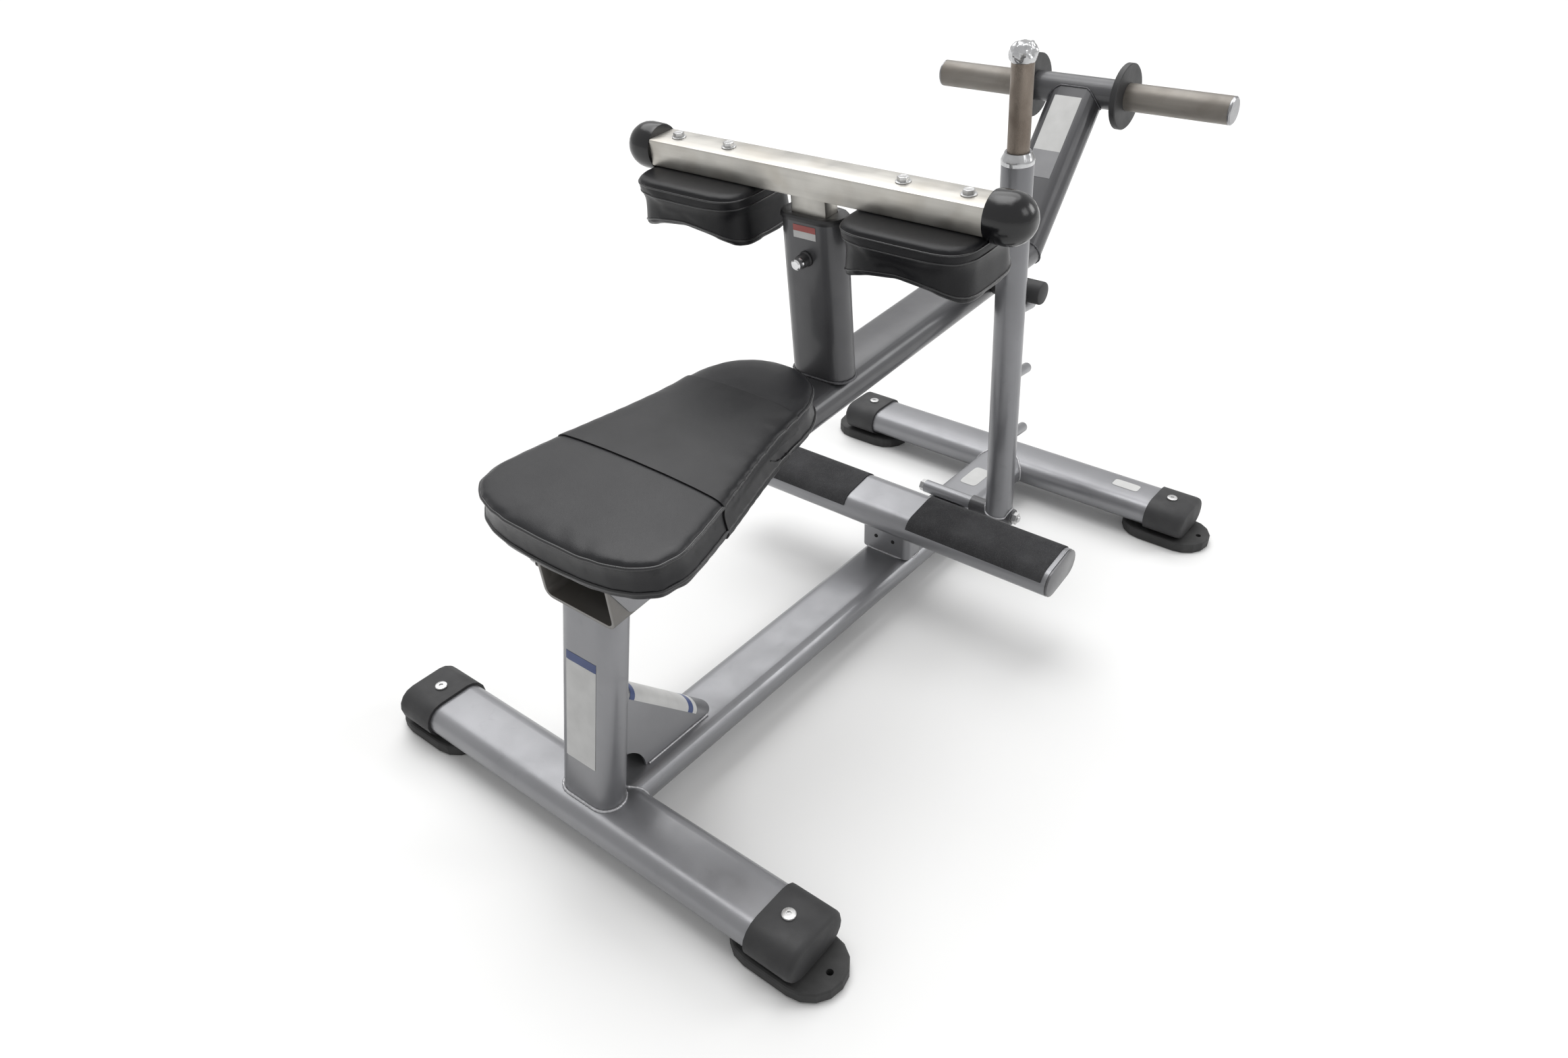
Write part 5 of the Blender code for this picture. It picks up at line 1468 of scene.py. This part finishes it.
@dataclass
class CatchPost(Assembly):
    """Catch post with its pivot, pegs and hand tube."""

    body: str = "catch"
    shoulder: float = 0.6735
    tube_start: float = 0.012
    tube_length: float = 0.137
    # The neck sleeve starts a little below the shoulder and leaves out what is narrower than its inside.
    neck_below: float = 0.006
    neck_inside: float = 0.0172
    neck_wall: float = 0.0003
    neck_lift: float = 0.0006
    neck_dent: float = 0.0005
    # The cap is folded, and dented by noise of a depth and a fineness. Its ends are pressed flat.
    cap_radius: float = 0.0206
    cap_low: float = -0.0150
    cap_high: float = 0.0170
    cap_tuck: float = 0.93
    cap_lift: float = 0.0035
    folds: float = 6.0
    fold_depth: float = 0.0011
    dents: tuple[tuple[float, float], ...] = ((0.0022, 95.0), (0.0009, 260.0))
    hub_radius: float = 0.0162
    post_radius: float = 0.0259
    cope_limit: float = 0.0160
    cope_least: float = 0.0045
    weld_steps: int = 28

    def build(self) -> None:
        """Dress the catch and model its crumpled cap."""
        looks = self.looks
        self.refine("catch_cross_tube", looks.silver, body="frame")
        self.refine("catch_pivot_bolt", looks.zinc, body="frame")
        for node, look in (("catch_hub", looks.graphite), ("catch_post", looks.post),
                           ("catch_handle", looks.handle)):
            self.refine(node, look)
        for name in ("upper", "middle", "lower"):
            self.refine(f"{name}_catch_peg", looks.silver, slot=Slot.STEEL)
        self.make_cap()
        self.make_neck()
        ring = []
        for step in range(self.weld_steps):
            angle = math.radians(360.0 * step / self.weld_steps)
            off = self.post_radius * math.sin(angle)
            reach = math.sqrt(self.hub_radius ** 2 - min(abs(off), self.cope_limit) ** 2)
            x = CATCH_X + self.post_radius * math.cos(angle)
            ring.append(CATCH.at(max(reach, self.cope_least), off, x))
        self.bead("catch_hub_weld", ring, 0.0016, looks.silver_weld, True, 0.14)

    def make_neck(self) -> None:
        """Lay a bright sleeve over the post's drawn-in end."""
        along = CATCH.ahead()

        def centre(place: Vector) -> Vector:
            """Return the place on the post's middle line that is level with another."""
            return CATCH.at((place - CATCH.at(0)).dot(along), 0.0, CATCH_X)

        def inner(face: Face) -> bool:
            """Say whether a face lies inside the tube or on its narrow end."""
            middle = face.calc_center_median()
            away = middle - centre(middle)
            return face.normal.dot(away) <= 0.0 or away.length < self.neck_inside

        piece = self.copy_solid("catch_post")
        self.edit(piece)
        self.trim(CATCH.at(self.shoulder - self.neck_below), along, True)
        self.drop(piece, inner)
        self.modify(piece, "SUBSURF", subdivision_type="SIMPLE", levels=2, render_levels=2)
        for vert in piece.data.vertices:
            away = (vert.co - centre(vert.co)).normalized()
            vert.co += away * (self.neck_lift + self.neck_dent * noise.noise(vert.co * 130.0))
        self.modify(piece, "SOLIDIFY", thickness=self.neck_wall)
        self.hand_over(piece, "catch_neck_sleeve", self.looks.foil, 30.0)

    def make_cap(self) -> None:
        """Model the hand tube's soft metal cap, folded down by hand."""
        low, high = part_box("handle_cap")
        self.take()
        bpy.ops.mesh.primitive_uv_sphere_add(segments=48, ring_count=28, radius=self.cap_radius)
        piece = bpy.context.object
        for vert in piece.data.vertices:
            height = vert.co.z / self.cap_radius
            around = math.atan2(vert.co.y, vert.co.x)
            fold = self.fold_depth * math.sin(around * self.folds) * max(0.0, 1.0 - abs(height - 0.2))
            dent = sum(depth * noise.noise(vert.co * fineness) for depth, fineness in self.dents)
            outward = Vector((vert.co.x, vert.co.y, 0.0))
            if outward.length > 1e-5:
                outward.normalize()
            vert.co += outward * (fold + dent) + Vector((0, 0, dent))
            vert.co.z = max(vert.co.z, self.cap_low) * 1.02
            vert.co.z = min(vert.co.z, self.cap_high + dent)
            if height < -0.45:
                vert.co.x *= self.cap_tuck
                vert.co.y *= self.cap_tuck
        top = CATCH.at(self.shoulder + self.tube_start + self.tube_length, 0.0, CATCH_X)
        piece.matrix_world = placed(top + CATCH.ahead() * self.cap_lift, ("X", CATCH.pitch - 90.0))
        self.hand_over(piece, "hand_tube_cap", self.looks.foil, 22.0)
        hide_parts("handle_cap")
        LOG.info("cap spans %s to %s", tuple(low), tuple(high))


@dataclass(frozen=True)
class Studio:
    """Pale floor, soft lamps and the camera."""

    lens: float = 25.395
    eye: Color = (0.9077, -0.6661 + SHIFT, 1.2428)
    right: Color = (0.78209, 0.62266, -0.02500)
    forward: Color = (-0.52753, 0.64018, -0.55846)
    lamps: tuple[tuple[str, Color, float, float], ...] = (
        ("key", (-0.7, -0.1, 4.0), 2.4, 38.0), ("fill", (2.9, 0.1, 2.6), 1.3, 12.0),
        ("back", (2.7, 2.6, 2.4), 1.5, 34.0))

    def build(self) -> None:
        """Set up the floor, lights, world and camera."""
        self.floor()
        for lamp in self.lamps:
            self.lamp(*lamp)
        self.sun()
        self.world()
        self.camera()
        bpy.context.scene.view_settings.view_transform = "Standard"

    @staticmethod
    def floor() -> None:
        """Lay the floor, pale to the eye and in reflections, and less so to the light that it throws back."""
        bpy.ops.object.select_all(action="DESELECT")
        bpy.ops.mesh.primitive_plane_add(size=60.0, location=(0, 0, -0.0005))
        floor = bpy.context.object
        floor.name = "floor"
        look = Surface("floor_look")
        tree = look.tree
        color = look.blend(look.span(look.grain(1.5), 0.0, 1.0), (0.90, 0.90, 0.895), (0.885, 0.885, 0.88))
        path = add_node(tree, "LightPath", {}).outputs
        seen = add_node(tree, "Math", {0: path["Is Camera Ray"], 1: path["Is Glossy Ray"]},
                        operation="MAXIMUM").outputs[0]
        away = add_node(tree, "VectorMath", {0: look.place}, operation="LENGTH").outputs["Value"]
        glow = add_node(tree, "Math", {0: look.span(away, 0.02, 0.20, 0.9, 3.2), 1: seen},
                        operation="MULTIPLY").outputs[0]
        floor.data.materials.append(look.close(
            look.blend(seen, (0.68, 0.68, 0.68), color), look.span(look.grain(4.0), 0.85, 0.95), 0.0,
            Emission_Color=(1.0, 1.0, 1.0, 1.0), Emission_Strength=glow))

    @staticmethod
    def lamp(name: str, place: Color, size: float, power: float) -> None:
        """Hang a square soft lamp that faces the machine.

        Args:
            name: its name.
            place: where it hangs.
            size: its side.
            power: its power in watts.
        """
        data = bpy.data.lights.new(name, "AREA")
        data.size = size
        data.energy = power
        lamp = bpy.data.objects.new(name, data)
        lamp.location = place
        aim = Vector((0.0, 0.0, 0.35)) - Vector(place)
        lamp.rotation_euler = aim.to_track_quat("-Z", "Y").to_euler()
        bpy.context.scene.collection.objects.link(lamp)

    @staticmethod
    def sun() -> None:
        """Add a broad, even light from above, so that the floor is as bright far away as it is near."""
        data = bpy.data.lights.new("even_light", "SUN")
        data.energy = 1.6
        data.angle = math.radians(60.0)
        lamp = bpy.data.objects.new("even_light", data)
        lamp.rotation_euler = (math.radians(-18.0), math.radians(-22.0), 0.0)
        bpy.context.scene.collection.objects.link(lamp)

    @staticmethod
    def world() -> None:
        """Make the world white to the eye, and softer in reflections and as a light."""
        world = bpy.data.worlds.new("studio")
        bpy.context.scene.world = world
        world.use_nodes = True
        tree = world.node_tree
        path = add_node(tree, "LightPath", {}).outputs
        clear = add_node(tree, "Math", {0: path["Is Camera Ray"], 1: path["Is Transmission Ray"]},
                         operation="MAXIMUM").outputs[0]
        share = add_node(tree, "Math", {0: clear, 1: 0.55, 2: 0.45}, operation="MULTIPLY_ADD").outputs[0]
        gloss = add_node(tree, "Math", {0: path["Is Glossy Ray"], 1: 0.25, 2: share},
                         operation="MULTIPLY_ADD").outputs[0]
        feed(tree, tree.nodes["Background"], {"Color": (1.0, 1.0, 1.0, 1.0), "Strength": gloss})

    def camera(self) -> None:
        """Stand the camera where the photograph was taken from."""
        data = bpy.data.cameras.new("camera")
        data.lens = self.lens
        data.sensor_width = 36.0
        data.sensor_fit = "HORIZONTAL"
        data.clip_start = 0.01
        right = Vector(self.right).normalized()
        forward = Vector(self.forward).normalized()
        upward = right.cross(forward).normalized()
        turn = Matrix((right, upward, -forward)).transposed()
        camera = bpy.data.objects.new("camera", data)
        camera.matrix_world = Matrix.Translation(self.eye) @ turn.to_4x4()
        bpy.context.scene.collection.objects.link(camera)
        bpy.context.scene.camera = camera


def main() -> None:
    """Build the whole scene."""
    logging.basicConfig(level=logging.INFO, format="%(name)s: %(message)s")
    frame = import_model()
    looks = Finishes()
    for part in (Base, Seat, Footrest, Lever, ThighPads, CatchPost):
        part(looks, frame["nodes"]).build()
    Studio().build()
    bpy.context.view_layer.update()


if __name__ == "__main__":
    main()
